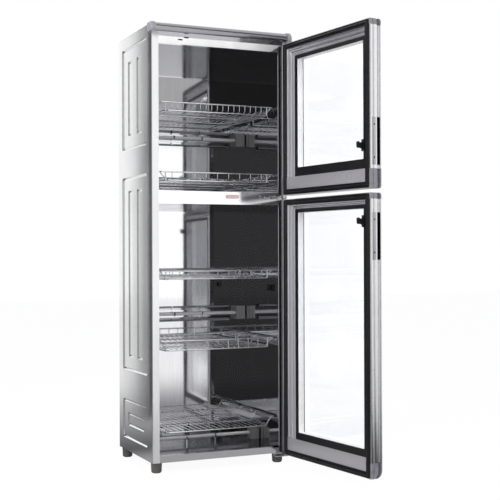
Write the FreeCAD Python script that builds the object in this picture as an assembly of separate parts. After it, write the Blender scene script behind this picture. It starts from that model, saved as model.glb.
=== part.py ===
"""Two-door dish sterilizer cabinet, in millimetres.

Frame: +Z up, the front faces -Y, the doors hang on the +X side. The origin is the centre of the
base tray's underside. The doors are built closed and then swung open about their pins, which is
the rest pose. Every node is written to parts/NODE.step.
"""
import FreeCAD, Part
import math
import os

from FreeCAD import Vector

# ---------------------------------------------------------------- driving dimensions
# casing
BODY_WIDTH = 520.0
BODY_DEPTH = 390.0
BODY_HEIGHT = 1560.0
SHEET = 1.0
SIDE_BEND_RADIUS = 5.0
SIDE_FRONT_FLANGE = 12.0
TRAY_UPSTAND = 20.0
LID_DOWNSTAND = 15.0
# pressed fields
PRESS_DEPTH = 4.0
PANEL_PRESS_DEPTH = 3.0
PRESS_CORNER = 12.0
PANEL_PRESS_CORNER = 8.0
FIELD_BACK_MARGIN = 47.0
FIELD_FRONT_MARGIN = 58.0
FIELD_SHARES = ((0.727, 0.972), (0.195, 0.661), (0.0295, 0.124))
SLOT_INSET = 51.0
SLOT_WIDTH = 58.0
SLOT_GAP = 44.0
LOWER_PANEL_INSET = 49.0
BACK_FIELD_MARGIN = 60.0
BASE_FIELD_MARGIN = 12.0
# front frame
FRAME_SHEET = 1.2
STILE_WIDTH = 24.0
STILE_EDGE_GAP = 2.0
FRAME_RETURN = 18.0
HEADER_HEIGHT = 70.0
HEADER_SLOT = (18.0, 5.0)
HEADER_SLOT_SPOTS = ((-151.0, 17.0), (-128.0, 26.0))
MIDDLE_RAIL_SHARE = 0.5904
MIDDLE_RAIL_HEIGHT = 46.0
BOTTOM_RAIL_HEIGHT = 25.0
BOTTOM_RAIL_CORNER = 22.0
# top moulding
MOULDING_DROP = 36.0
MOULDING_HEIGHT = 34.0
MOULDING_PROUD = 40.0
MOULDING_CAP_OVERHANG = 16.0
MOULDING_CAP_WIDTH = 19.0
MOULDING_CAP_LIP = 3.0
CAP_TAPER = 6.0
# liner
LINER_SIDE_GAP = 20.0
LINER_BACK_GAP = 50.0
LINER_SHEET = 0.8
# feet
FOOT_RADIUS = 20.0
FOOT_TAPER = 1.5
FOOT_HEIGHT = 37.0
FOOT_ROUND = 4.0
FOOT_SIDE_INSET = 22.0
FOOT_FRONT_INSET = 24.0
FOOT_BACK_INSET = 30.0
# racks: name, chamber, floor height as a share of the chamber, rim rise, strut pitch
RACKS = (
    ("glass_rack", "upper", 0.5526, 30.0, 22.0),
    ("upper_plate_rack", "upper", 0.0746, 30.0, 44.0),
    ("lower_plate_rack", "lower", 0.6987, 28.0, 44.0),
    ("bowl_rack", "lower", 0.4130, 33.0, 40.0),
    ("bottom_rack", "lower", 0.0848, 33.0, 0.0),
)
RACK_SIDE_GAP = 38.0
RACK_FRONT_INSET = 25.0
RACK_BACK_INSET = 20.0
RIM_WIRE = 2.5
FLOOR_WIRE = 1.5
ARM_WIRE = 2.0
FLOOR_WIRE_PITCH = 22.0
WELD_SINK = 0.6
WIRE_SIDES = 6
HANGER_CLEARANCE = 2.5
# runners
RUNNER_WIDTH = 16.0
RUNNER_DROP = 14.0
RUNNER_SHEET = 1.2
RUNNER_BACK_GAP = 6.0
RUNNING_GAP = 0.3
# heaters: tube axis heights on the back wall, and the tube over the floor
WALL_HEATER_SHARES = (("upper", 0.4321), ("lower", 0.5391))
FLOOR_HEATER_Y = 0.0
FLOOR_HEATER_RISE = 25.0
TUBE_RADIUS = 6.5
TUBE_WALL = 1.2
TUBE_SOCKET = 15.0
COIL_RADIUS = 3.0
HOLDER_WIDTH = 36.0
HOLDER_HEIGHT = 50.0
HOLDER_DEPTH = 30.0
HOLDER_WALL_GAP = 4.0
HOLDER_GROOVE = 2.5
CLIP_X = 58.0
CLIP_WIDTH = 6.0
CLIP_SHEET = 1.2
REFLECTOR_END_GAP = 25.0
REFLECTOR_STRIP = 30.0
REFLECTOR_WING = 14.0
# doors
DOOR_OVERHANG = 4.0
DOOR_OPEN_ANGLE = 97.0
DOOR_GAP = 14.0
DOOR_GAP_RISE = 5.5
DOOR_BOTTOM_DROP = 6.0
GASKET_GAP = 0.5
GASKET_THICKNESS = 6.0
GASKET_WIDTH = 20.0
GASKET_INSET = 5.0
GASKET_ROUND = 8.0
DOOR_THICKNESS = 38.0
HANDLE_PROUD = 12.0
HINGE_STILE_WIDTH = 80.0
HANDLE_STILE_WIDTH = 26.0
BEAD_WIDTH = 11.0
UPPER_RAILS = (67.0, 56.0)
LOWER_RAILS = (69.0, 40.0)
UPPER_BOTTOM_BEAD = 32.0
LOWER_BOTTOM_BEAD = 25.0
GLASS_THICKNESS = 4.0
INNER_PANE_THICKNESS = 4.0
INNER_PANE_SET = 3.5
INNER_PANE_GRIP = 5.0
GLASS_LIP = 2.5
GLASS_EDGE_CLEARANCE = 1.0
PROFILE_WALL = 2.0
STILE_GROOVE = 2.0
STILE_GROOVE_SPOTS = (37.0, 61.0)
# handle
EDGE_GROOVE = (5.0, 3.0)
FINGER_CHANNEL_START = 29.0
FINGER_CHANNEL_WIDTH = 13.0
FINGER_CHANNEL_DEPTH = 8.0
FINGER_POCKET_DEPTH = 20.0
HANDLE_LENGTH = 158.0
UPPER_HANDLE_RISE = 78.5
LOWER_HANDLE_DROP = 65.0
INSERT_WIDTH = 13.0
INSERT_THICKNESS = 2.0
INSERT_START = 10.0
SCREW_RADIUS = 2.6
SCREW_HEAD = 1.2
SCREW_MARGIN = 24.0
UPPER_CAPS = (77.0, 20.0)
LOWER_CAPS = (52.0, 20.0)
END_CAP_ROUND = 9.0
# latch hooks and their catches
HOOK_SHARES = (("upper", 0.2562), ("lower", 0.9185))
HOOK_INSET = 11.0
HOOK_HEIGHT = 22.0
HOOK_THICKNESS = 7.0
HOOK_REACH = 36.0
HOOK_BASE = (14.0, 40.0, 3.5)
HOOK_NIB = 4.0
CATCH_SIZE = (5.0, 24.0, 32.0)
# hinges
PIN_RADIUS = 3.0
PIN_REACH = 15.0
PIN_EDGE_DISTANCE = 6.0
PIN_DEPTH = 12.0
BUSH_WALL = 1.5
BUSH_LENGTH = 16.0
BUSH_PROUD = 1.2
BUSH_CLEARANCE = 0.08
PIN_SEAT_CLEARANCE = 0.05
HINGE_PLATE = 3.0
HINGE_EYE = 9.0
HINGE_PLATE_LENGTH = 53.0
MIDDLE_FLANGE_LENGTH = 60.0
MIDDLE_FLANGE_SHEET = 2.5
MIDDLE_FLANGE_HEIGHT = 14.0
FLOOR_PLATE_BACK = 45.0
# small fittings
PLUG_CENTRE_X = 49.0
PLUG_SIZE = (52.0, 14.0, 2.5)
THERMOSTAT_Y = -118.0
THERMOSTAT_SHARE = 0.6563
THERMOSTAT_PLATE = (70.0, 25.0, 1.5)
THERMOSTAT_CAN = (9.0, 6.0)
GLAND_SIDE_INSET = 70.0
GLAND_Z = 70.0
GLAND_RADIUS = 9.0
GLAND_FLANGE = (14.0, 3.0)
GLAND_LENGTH = 16.0
GLAND_BORE = 4.0

# ---------------------------------------------------------------- derived places
HALF_WIDTH = BODY_WIDTH / 2
FRONT = -BODY_DEPTH / 2
BACK = BODY_DEPTH / 2
FLANGE_FRONT = FRONT + FRAME_SHEET
TRAY_FRONT = FLANGE_FRONT + SHEET
STILE_OUTER = HALF_WIDTH - STILE_EDGE_GAP
GLAND_X = GLAND_SIDE_INSET - HALF_WIDTH
STILE_INNER = STILE_OUTER - STILE_WIDTH
LINER_HALF_WIDTH = HALF_WIDTH - LINER_SIDE_GAP
LINER_FRONT = FRONT + FRAME_RETURN
LINER_BACK = BACK - LINER_BACK_GAP
HEADER_BOTTOM = BODY_HEIGHT - HEADER_HEIGHT
MIDDLE_RAIL_BOTTOM = BODY_HEIGHT * MIDDLE_RAIL_SHARE
MIDDLE_RAIL_TOP = MIDDLE_RAIL_BOTTOM + MIDDLE_RAIL_HEIGHT
CHAMBERS = {"upper": (MIDDLE_RAIL_TOP, HEADER_BOTTOM), "lower": (BOTTOM_RAIL_HEIGHT, MIDDLE_RAIL_BOTTOM)}
MOULDING_BOTTOM = BODY_HEIGHT - MOULDING_DROP
MOULDING_TOP = MOULDING_BOTTOM + MOULDING_HEIGHT
MOULDING_CAP_OUTER = HALF_WIDTH + MOULDING_CAP_OVERHANG
MOULDING_HALF_LENGTH = MOULDING_CAP_OUTER - MOULDING_CAP_WIDTH
RACK_HALF_WIDTH = LINER_HALF_WIDTH - RACK_SIDE_GAP
RACK_FRONT = FRONT + RACK_FRONT_INSET
RACK_BACK = LINER_BACK - RACK_BACK_INSET
HANGER_X = STILE_INNER - HANGER_CLEARANCE - RIM_WIRE
ELBOW_X = LINER_HALF_WIDTH - RUNNER_WIDTH - 2 * ARM_WIRE
SIDE_WIRE_X = RACK_HALF_WIDTH - RIM_WIRE - FLOOR_WIRE
DOOR_HALF_WIDTH = HALF_WIDTH + DOOR_OVERHANG
GASKET_PLANE = FRONT - GASKET_GAP
DOOR_INNER = GASKET_PLANE - GASKET_THICKNESS
DOOR_OUTER = DOOR_INNER - DOOR_THICKNESS
HANDLE_FRONT = DOOR_OUTER - HANDLE_PROUD
PIN_X = DOOR_HALF_WIDTH - PIN_EDGE_DISTANCE
PIN_Y = FRONT - PIN_DEPTH
BUSH_RADIUS = PIN_RADIUS + BUSH_CLEARANCE + BUSH_WALL
DOOR_GAP_MIDDLE = MIDDLE_RAIL_BOTTOM + MIDDLE_RAIL_HEIGHT / 2 + DOOR_GAP_RISE
UPPER_DOOR = (DOOR_GAP_MIDDLE + DOOR_GAP / 2, MOULDING_BOTTOM - HINGE_PLATE - RUNNING_GAP - BUSH_PROUD)
LOWER_DOOR = (-DOOR_BOTTOM_DROP, DOOR_GAP_MIDDLE - DOOR_GAP / 2)
MIDDLE_BUSH_PROUD = (DOOR_GAP - HINGE_PLATE) / 2 - RUNNING_GAP
HINGE_STILE_EDGE = DOOR_HALF_WIDTH - HINGE_STILE_WIDTH
HANDLE_STILE_EDGE = -DOOR_HALF_WIDTH + HANDLE_STILE_WIDTH


# ---------------------------------------------------------------- basic shapes
def block(x0, x1, y0, y1, z0, z1):
    """A box between two corners."""
    return Part.makeBox(x1 - x0, y1 - y0, z1 - z0, Vector(x0, y0, z0))


def prism(points, travel):
    """A flat outline of points, pushed along a vector."""
    return Part.Face(Part.makePolygon(points + points[:1])).extrude(travel)


def plan_prism(points, z0, z1):
    """An outline in plan, given as (x, y) pairs, raised from z0 to z1."""
    return prism([Vector(x, y, z0) for x, y in points], Vector(0, 0, z1 - z0))


def side_prism(points, x0, x1):
    """An outline seen from the side, given as (y, z) pairs, run from x0 to x1."""
    return prism([Vector(x0, y, z) for y, z in points], Vector(x1 - x0, 0, 0))


def rod(start, end, radius):
    """A straight round wire or pin between two points."""
    axis = end - start
    return Part.makeCylinder(radius, axis.Length, start, axis)


def tube(start, end, radius, bore):
    """A straight tube between two points."""
    return rod(start, end, radius).cut(rod(start, end, bore))


def wire(start, end, radius):
    """A straight six-sided bar or wire whose flats stand at the given radius."""
    axis = end - start
    upright = abs(axis.z) > abs(axis.x) + abs(axis.y)
    across = Vector(1, 0, 0) if upright else unit(axis.cross(Vector(0, 0, 1)))
    rise = unit(across.cross(axis))
    corner = radius / math.cos(math.pi / WIRE_SIDES)
    turns = [2 * math.pi * i / WIRE_SIDES for i in range(WIRE_SIDES)]
    outline = [start + across * (corner * math.cos(a)) + rise * (corner * math.sin(a)) for a in turns]
    return prism(outline, axis)


def share_height(chamber, share):
    """A height given as a share of a chamber's clear height."""
    low, high = CHAMBERS[chamber]
    return low + (high - low) * share


def joined(shapes):
    """One solid out of several that meet."""
    first, rest = shapes[0], shapes[1:]
    return first.fuse(rest).removeSplitter()


def unit(vector):
    """The vector at length 1."""
    return vector * (1.0 / vector.Length)


def rounded_wire(corners, radius):
    """A closed flat wire through the corners, with each corner rounded."""
    edges = []
    last = None
    count = len(corners)
    for i in range(count + 1):
        here = corners[i % count]
        to_previous = unit(corners[(i - 1) % count] - here)
        to_next = unit(corners[(i + 1) % count] - here)
        half_turn = to_previous.getAngle(to_next) / 2
        reach = radius / math.tan(half_turn)
        bisector = unit(to_previous + to_next)
        enter = here + to_previous * reach
        leave = here + to_next * reach
        middle = here + bisector * (radius / math.sin(half_turn) - radius)
        if last is not None:
            edges.append(Part.LineSegment(last, enter).toShape())
        if i < count:
            edges.append(Part.Arc(enter, middle, leave).toShape())
        last = leave
    return Part.Wire(edges)


def recess(corners, inward, depth, radius):
    """The dish that a press die sinks: a rounded rectangle whose walls slope in at 45 degrees."""
    floor = stepped_in(corners, inward, depth)
    mouth = rounded_wire(corners, radius)
    bottom = rounded_wire(floor, radius - depth / 2)
    return Part.makeLoft([mouth, bottom], True, True)


def clipped_recess(corners, inward, depth, clip):
    """A small pressed dish with its corners cut straight across."""
    rings = []
    for loop, cut in ((corners, clip), (stepped_in(corners, inward, depth), clip - depth / 2)):
        points = []
        for i, here in enumerate(loop):
            after = loop[(i + 1) % len(loop)]
            points += [here + unit(loop[i - 1] - here) * cut, here + unit(after - here) * cut]
        rings.append(Part.makePolygon(points + points[:1]))
    return Part.makeLoft(rings, True, True)


def stepped_in(corners, inward, depth):
    """The same rectangle one die depth down, drawn in by that depth on every side."""
    floor = []
    for i, here in enumerate(corners):
        to_previous = unit(corners[i - 1] - here)
        to_next = unit(corners[(i + 1) % len(corners)] - here)
        floor.append(here + (to_previous + to_next + inward) * depth)
    return floor


def pressed(sheet, dishes, inward, thickness):
    """A flat sheet with dishes pressed into it at an even thickness."""
    backs = [dish.translated(inward * thickness) for dish in dishes]
    return sheet.fuse(backs).cut(dishes).removeSplitter()


def ring(x0, x1, y0, y1, z0, z1, width, radius):
    """A rectangular loop of a given width in a door's plane, with rounded outer corners."""
    corners = [Vector(x, y0, z) for x, z in ((x0, z0), (x1, z0), (x1, z1), (x0, z1))]
    outer = rounded_wire(corners, radius)
    inner = block(x0 + width, x1 - width, y0, y1, z0 + width, z1 - width)
    return Part.Face(outer).extrude(Vector(0, y1 - y0, 0)).cut(inner)


def mirrored(shape):
    """The shape's twin on the other side of the cabinet."""
    return shape.mirror(Vector(0, 0, 0), Vector(1, 0, 0))


# ---------------------------------------------------------------- casing
def side_field(x, span, inset, slots):
    """The corners of one pressed field on the left side, then of the dishes inside it."""
    back = BACK - FIELD_BACK_MARGIN
    front = FRONT + FIELD_FRONT_MARGIN
    bottom, top = span
    field = [Vector(x, y, z) for y, z in ((front, bottom), (back, bottom), (back, top), (front, top))]
    floor_x = x + PRESS_DEPTH
    low, high = bottom + inset, top - inset
    panels = []
    for y0, y1 in slots:
        panels.append([Vector(floor_x, y, z) for y, z in ((y0, low), (y1, low), (y1, high), (y0, high))])
    return field, panels


def field_spans():
    """The heights of the upper, middle and lower pressed fields."""
    return [(BODY_HEIGHT * low, BODY_HEIGHT * high) for low, high in FIELD_SHARES]


def side_sheet():
    """The plain side sheet, folded round its front edge."""
    outer, r, t = -HALF_WIDTH, SIDE_BEND_RADIUS, SHEET
    bend = math.sqrt(0.5)
    centre_x, centre_y = outer + r, FLANGE_FRONT + r
    inner_r = r - t
    tip = outer + SIDE_FRONT_FLANGE
    back_edge = [Vector(outer + t, centre_y, 0), Vector(outer + t, BACK, 0), Vector(outer, BACK, 0),
                 Vector(outer, centre_y, 0)]
    flange_back = FLANGE_FRONT + t
    flange = [Vector(centre_x, FLANGE_FRONT, 0), Vector(tip, FLANGE_FRONT, 0), Vector(tip, flange_back, 0),
              Vector(centre_x, flange_back, 0)]
    edges = [Part.LineSegment(a, b).toShape() for a, b in zip(back_edge, back_edge[1:])]
    outer_middle = Vector(centre_x - r * bend, centre_y - r * bend, 0)
    edges.append(Part.Arc(back_edge[-1], outer_middle, flange[0]).toShape())
    edges += [Part.LineSegment(a, b).toShape() for a, b in zip(flange, flange[1:])]
    inner_middle = Vector(centre_x - inner_r * bend, centre_y - inner_r * bend, 0)
    edges.append(Part.Arc(flange[-1], inner_middle, back_edge[0]).toShape())
    return Part.Face(Part.Wire(edges)).extrude(Vector(0, 0, BODY_HEIGHT))


def left_side_panel():
    """The side sheet with three pressed fields and the smaller dishes inside them."""
    middle = (FRONT + FIELD_FRONT_MARGIN + BACK - FIELD_BACK_MARGIN) / 2
    offset = (SLOT_GAP + SLOT_WIDTH) / 2
    half = SLOT_WIDTH / 2
    pair = [(centre - half, centre + half) for centre in (middle - offset, middle + offset)]
    single = [(FRONT + FIELD_FRONT_MARGIN + LOWER_PANEL_INSET, BACK - FIELD_BACK_MARGIN - LOWER_PANEL_INSET)]
    inward = Vector(1, 0, 0)
    insets = (SLOT_INSET, SLOT_INSET, LOWER_PANEL_INSET)
    dishes = []
    for span, inset, slots in zip(field_spans(), insets, (pair, pair, single)):
        field, panels = side_field(-HALF_WIDTH, span, inset, slots)
        dishes.append(recess(field, inward, PRESS_DEPTH, PRESS_CORNER))
        dishes += [clipped_recess(panel, inward, PANEL_PRESS_DEPTH, PANEL_PRESS_CORNER) for panel in panels]
    return pressed(side_sheet(), dishes, inward, SHEET)


def back_panel():
    """The back sheet, with two pressed fields and the hole for the cord gland."""
    half = HALF_WIDTH - SHEET
    sheet = block(-half, half, BACK - SHEET, BACK, 0, BODY_HEIGHT)
    edge = half - BACK_FIELD_MARGIN
    upper, middle, lower = field_spans()
    inward = Vector(0, -1, 0)
    dishes = []
    for low, high in (upper, (lower[1], middle[1])):
        corners = [Vector(x, BACK, z) for x, z in ((-edge, low), (edge, low), (edge, high), (-edge, high))]
        dishes.append(recess(corners, inward, PRESS_DEPTH, PRESS_CORNER))
    sheet = pressed(sheet, dishes, inward, SHEET)
    inside = Vector(GLAND_X, BACK - 2 * SHEET, GLAND_Z)
    return sheet.cut(rod(inside, Vector(GLAND_X, BACK + SHEET, GLAND_Z), GLAND_RADIUS))


def pan(z0, z1, floor_low):
    """A shallow folded pan between the side sheets, with its floor at the bottom or the top."""
    low = z0 + SHEET if floor_low else z0
    high = z1 if floor_low else z1 - SHEET
    outside = plan_prism(pan_outline(HALF_WIDTH - SHEET, TRAY_FRONT, BACK - SHEET), z0, z1)
    inside = plan_prism(pan_outline(HALF_WIDTH - 2 * SHEET, TRAY_FRONT + SHEET, BACK - 2 * SHEET), low, high)
    return outside.cut(inside)


def pan_outline(half, front, back):
    """A rectangle in plan whose front corners are clipped to clear the side sheets' bends."""
    clip = SIDE_BEND_RADIUS
    return [(-half, back), (-half, front + clip), (-half + clip, front), (half - clip, front),
            (half, front + clip), (half, back)]


def base_tray():
    """The base pan, its underside pressed up a little between the feet."""
    x = HALF_WIDTH - FOOT_SIDE_INSET - FOOT_RADIUS - BASE_FIELD_MARGIN
    y = -FRONT - FOOT_FRONT_INSET - FOOT_RADIUS - BASE_FIELD_MARGIN
    corners = [Vector(-x, -y, 0), Vector(x, -y, 0), Vector(x, y, 0), Vector(-x, y, 0)]
    up = Vector(0, 0, 1)
    dish = recess(corners, up, PANEL_PRESS_DEPTH, PANEL_PRESS_CORNER)
    return pressed(pan(0, TRAY_UPSTAND, True), [dish], up, SHEET)


def foot(x, y, top):
    """A turned foot with a light taper and a broken lower edge."""
    low_radius = FOOT_RADIUS - FOOT_TAPER
    rim = low_radius - FOOT_ROUND
    bottom = -FOOT_HEIGHT
    outline = [Vector(0, 0, bottom), Vector(rim, 0, bottom), Vector(low_radius, 0, bottom + FOOT_ROUND),
               Vector(FOOT_RADIUS, 0, top), Vector(0, 0, top)]
    section = Part.Face(Part.makePolygon(outline + outline[:1]))
    return section.revolve(Vector(0, 0, 0), Vector(0, 0, 1), 360).translated(Vector(x, y, 0))


def feet():
    """Four feet: the one under the hinge plate is shorter by the plate's thickness."""
    side = HALF_WIDTH - FOOT_SIDE_INSET
    front, back = FRONT + FOOT_FRONT_INSET, BACK - FOOT_BACK_INSET
    return [foot(-side, front, 0), foot(side, front, -HINGE_PLATE), foot(-side, back, 0), foot(side, back, 0)]


# ---------------------------------------------------------------- front frame
def left_stile():
    """A folded upright: its face, its return into the opening and the hem that meets the liner."""
    t = FRAME_SHEET
    outer, inner, hem = -STILE_OUTER, -STILE_INNER, -LINER_HALF_WIDTH - LINER_SHEET
    hem_front = LINER_FRONT - t
    outline = [(outer, FRONT), (inner, FRONT), (inner, LINER_FRONT), (hem, LINER_FRONT), (hem, hem_front),
               (inner - t, hem_front), (inner - t, FRONT + t), (outer, FRONT + t)]
    upright = plan_prism(outline, 0, BODY_HEIGHT)
    for z0, z1 in ((0, TRAY_UPSTAND), (BODY_HEIGHT - LID_DOWNSTAND, BODY_HEIGHT)):
        upright = upright.cut(block(outer, inner, FRONT + t, LINER_FRONT, z0, z1))
    return upright


def rail(x0, x1, z0, z1, lower_return, upper_return):
    """A folded cross rail between the uprights, open to the back."""
    t = FRAME_SHEET
    outline = [(FRONT, z0)]
    if lower_return:
        outline += [(LINER_FRONT, z0), (LINER_FRONT, z0 + t), (FRONT + t, z0 + t)]
    else:
        outline += [(FRONT + t, z0)]
    if upper_return:
        outline += [(FRONT + t, z1 - t), (LINER_FRONT, z1 - t), (LINER_FRONT, z1), (FRONT, z1)]
    else:
        outline += [(FRONT + t, z1), (FRONT, z1)]
    return side_prism(outline, x0, x1)


def header_rail():
    """The wide rail over the upper door, with two vent slots."""
    plate = rail(-STILE_INNER, STILE_INNER, HEADER_BOTTOM, BODY_HEIGHT, True, False)
    length, height = HEADER_SLOT
    for x, rise in HEADER_SLOT_SPOTS:
        z = HEADER_BOTTOM + rise
        middle = block(x - length / 2 + height / 2, x + length / 2 - height / 2, FRONT, FLANGE_FRONT,
                       z - height / 2, z + height / 2)
        reach = (length - height) / 2
        centres = (x - reach, x + reach)
        ends = [rod(Vector(end, FRONT, z), Vector(end, FLANGE_FRONT, z), height / 2) for end in centres]
        plate = plate.cut(joined([middle] + ends))
    return plate


def bottom_rail():
    """The low rail, cut away at the hinge side for the lower bracket."""
    right = STILE_INNER - BOTTOM_RAIL_CORNER
    bar = rail(-STILE_INNER, right + BOTTOM_RAIL_CORNER / 2, 0, BOTTOM_RAIL_HEIGHT, False, True)
    h = BOTTOM_RAIL_HEIGHT
    corner = prism([Vector(right, FRONT - SHEET, h + SHEET), Vector(right, FRONT - SHEET, h),
                    Vector(right + BOTTOM_RAIL_CORNER / 2, FRONT - SHEET, h / 3),
                    Vector(right + BOTTOM_RAIL_CORNER, FRONT - SHEET, h / 3),
                    Vector(right + BOTTOM_RAIL_CORNER, FRONT - SHEET, h + SHEET)],
                   Vector(0, FRAME_RETURN + 2 * SHEET, 0))
    return bar.cut(corner)


def moulding_section(x, lip):
    """The bullnose outline of the top trim in the plane x, grown by a lip."""
    back, low = FRONT, MOULDING_BOTTOM
    front = FRONT - MOULDING_PROUD - lip
    top = MOULDING_TOP + lip
    height = top - low
    lower = Vector(x, front + height * 0.12, low)
    nose = Vector(x, front, low + height * 0.45)
    upper = Vector(x, front + height * 0.38, low + height * 0.93)
    edges = [
        Part.LineSegment(Vector(x, back, low), lower).toShape(),
        Part.Arc(lower, nose, upper).toShape(),
        Part.LineSegment(upper, Vector(x, back, top)).toShape(),
        Part.LineSegment(Vector(x, back, top), Vector(x, back, low)).toShape(),
    ]
    return Part.Wire(edges)


def top_moulding():
    """The extruded bullnose trim over the upper door."""
    section = Part.Face(moulding_section(-MOULDING_HALF_LENGTH, 0))
    return section.extrude(Vector(2 * MOULDING_HALF_LENGTH, 0, 0))


def left_moulding_cap():
    """A moulded end cap, a little larger than the trim and tapering at its outer end."""
    outer = -MOULDING_CAP_OUTER
    sections = [moulding_section(outer, MOULDING_CAP_LIP - CAP_TAPER),
                moulding_section(outer + CAP_TAPER, MOULDING_CAP_LIP),
                moulding_section(outer + MOULDING_CAP_WIDTH, MOULDING_CAP_LIP)]
    return Part.makeLoft(sections, True, True)


# ---------------------------------------------------------------- liner
def liner_walls():
    """The mirror-finish side walls and the back wall of both chambers."""
    low, high = BOTTOM_RAIL_HEIGHT - LINER_SHEET, HEADER_BOTTOM + LINER_SHEET
    half, t = LINER_HALF_WIDTH, LINER_SHEET
    right = block(half, half + t, LINER_FRONT, LINER_BACK + t, low, high)
    back = block(-half, half, LINER_BACK, LINER_BACK + t, low, high)
    return [mirrored(right), right, back]


def liner_decks():
    """The floor and the ceiling of each chamber, level with the rails' returns."""
    half, t = LINER_HALF_WIDTH, LINER_SHEET
    lows = (BOTTOM_RAIL_HEIGHT - t, MIDDLE_RAIL_BOTTOM, MIDDLE_RAIL_TOP - t, HEADER_BOTTOM)
    return [block(-half, half, LINER_FRONT, LINER_BACK, low, low + t) for low in lows]


def runner(rim):
    """One angle runner on the right wall, under the rack's side wire."""
    top = rim - RIM_WIRE - RUNNING_GAP
    t = RUNNER_SHEET
    wall = LINER_HALF_WIDTH
    outline = [Vector(wall, LINER_FRONT, top), Vector(wall - RUNNER_WIDTH, LINER_FRONT, top),
               Vector(wall - RUNNER_WIDTH, LINER_FRONT, top - t), Vector(wall - t, LINER_FRONT, top - t),
               Vector(wall - t, LINER_FRONT, top - RUNNER_DROP), Vector(wall, LINER_FRONT, top - RUNNER_DROP)]
    return prism(outline, Vector(0, LINER_BACK - RUNNER_BACK_GAP - LINER_FRONT, 0))


def rack_levels():
    """Each rack as its name, floor height, rim height and strut pitch."""
    levels = []
    for name, chamber, share, rise, pitch in RACKS:
        floor = share_height(chamber, share)
        levels.append((name, floor, floor + rise, pitch))
    return levels


def rack_runners():
    """A pair of runners for each rack."""
    right = [runner(rim) for _, _, rim, _ in rack_levels()]
    return [mirrored(one) for one in right] + right


# ---------------------------------------------------------------- racks
def ladder(y, floor, rim, pitch):
    """The front or back of a rack: bottom wire, rim wire, corner posts and evenly spaced struts."""
    half = RACK_HALF_WIDTH
    bars = [wire(Vector(-half, y, floor), Vector(half, y, floor), RIM_WIRE),
            wire(Vector(-HANGER_X, y, rim), Vector(HANGER_X, y, rim), RIM_WIRE)]
    bars += [wire(Vector(x, y, floor), Vector(x, y, rim), RIM_WIRE) for x in (-half, half)]
    if pitch:
        steps = int((half - pitch / 2) / pitch)
        face = y - RIM_WIRE - FLOOR_WIRE + WELD_SINK
        bars += [wire(Vector(i * pitch, face, floor), Vector(i * pitch, face, rim), FLOOR_WIRE)
                 for i in range(-steps, steps + 1)]
    return bars


def hanger(side, floor, rim):
    """One side of a rack: the sliding wire, the side wire on the floor and three bent arms."""
    low = floor + 2 * RIM_WIRE
    slide_x, side_x, elbow_x = side * HANGER_X, side * SIDE_WIRE_X, side * ELBOW_X
    front, back = RACK_FRONT - RIM_WIRE, RACK_BACK + RIM_WIRE
    bars = [wire(Vector(slide_x, front, rim), Vector(slide_x, back, rim), RIM_WIRE),
            wire(Vector(side_x, front, low), Vector(side_x, back, low), RIM_WIRE)]
    margin = 2 * RIM_WIRE + ARM_WIRE
    for y in (RACK_FRONT + margin, (RACK_FRONT + RACK_BACK) / 2, RACK_BACK - margin):
        bars += [wire(Vector(side_x, y, low), Vector(elbow_x, y, rim), ARM_WIRE),
                 wire(Vector(elbow_x, y, rim), Vector(slide_x, y, rim), ARM_WIRE)]
    return bars


def rack_grid(floor):
    """The floor of a rack: front-to-back wires over a middle cross wire."""
    z = floor + RIM_WIRE + FLOOR_WIRE
    steps = int((SIDE_WIRE_X - RIM_WIRE - FLOOR_WIRE_PITCH / 2) / FLOOR_WIRE_PITCH)
    front, back = RACK_FRONT - FLOOR_WIRE, RACK_BACK + FLOOR_WIRE
    places = [i * FLOOR_WIRE_PITCH for i in range(-steps, steps + 1)]
    wires = [wire(Vector(x, front, z), Vector(x, back, z), FLOOR_WIRE) for x in places]
    y = (RACK_FRONT + RACK_BACK) / 2
    half = RACK_HALF_WIDTH
    return joined([wire(Vector(-half, y, floor), Vector(half, y, floor), RIM_WIRE)] + wires)


def rack_frame(floor, rim, pitch):
    """The welded frame of a rack that has an upright front and back."""
    bars = ladder(RACK_FRONT, floor, rim, pitch) + ladder(RACK_BACK, floor, rim, 0)
    return joined(bars + hanger(-1, floor, rim) + hanger(1, floor, rim))


def open_rack_frame(floor, rim):
    """The welded frame of the bottom rack, low at the front and back."""
    half = RACK_HALF_WIDTH
    ends = [wire(Vector(-half, y, floor), Vector(half, y, floor), RIM_WIRE) for y in (RACK_FRONT, RACK_BACK)]
    return joined(ends + hanger(-1, floor, rim) + hanger(1, floor, rim))


# ---------------------------------------------------------------- heaters
def heater_frames():
    """Each heater as (axis y, axis z, the direction of the wall that carries it, the distance to it)."""
    axis_y = LINER_BACK - HOLDER_DEPTH / 2
    wall = [(axis_y, z, Vector(0, 1, 0), HOLDER_DEPTH / 2) for z in wall_heater_heights()]
    floor_z = BOTTOM_RAIL_HEIGHT + FLOOR_HEATER_RISE
    return wall + [(FLOOR_HEATER_Y, floor_z, Vector(0, 0, -1), FLOOR_HEATER_RISE)]


def wall_heater_heights():
    """The heights of the two tubes on the back wall."""
    return [share_height(chamber, share) for chamber, share in WALL_HEATER_SHARES]


def holder_inner_x():
    """The x of the face where a tube goes into its holder."""
    return LINER_HALF_WIDTH - HOLDER_WALL_GAP - HOLDER_WIDTH


def quartz_tubes():
    """The clear heater tubes, let into their holders at both ends."""
    end = holder_inner_x() + TUBE_SOCKET
    return [tube(Vector(-end, y, z), Vector(end, y, z), TUBE_RADIUS, TUBE_RADIUS - TUBE_WALL)
            for y, z, _, _ in heater_frames()]


def heater_coils():
    """The envelope of each wound element, as long as its tube's bore."""
    end = holder_inner_x() + TUBE_SOCKET
    return [wire(Vector(-end, y, z), Vector(end, y, z), COIL_RADIUS) for y, z, _, _ in heater_frames()]


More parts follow.
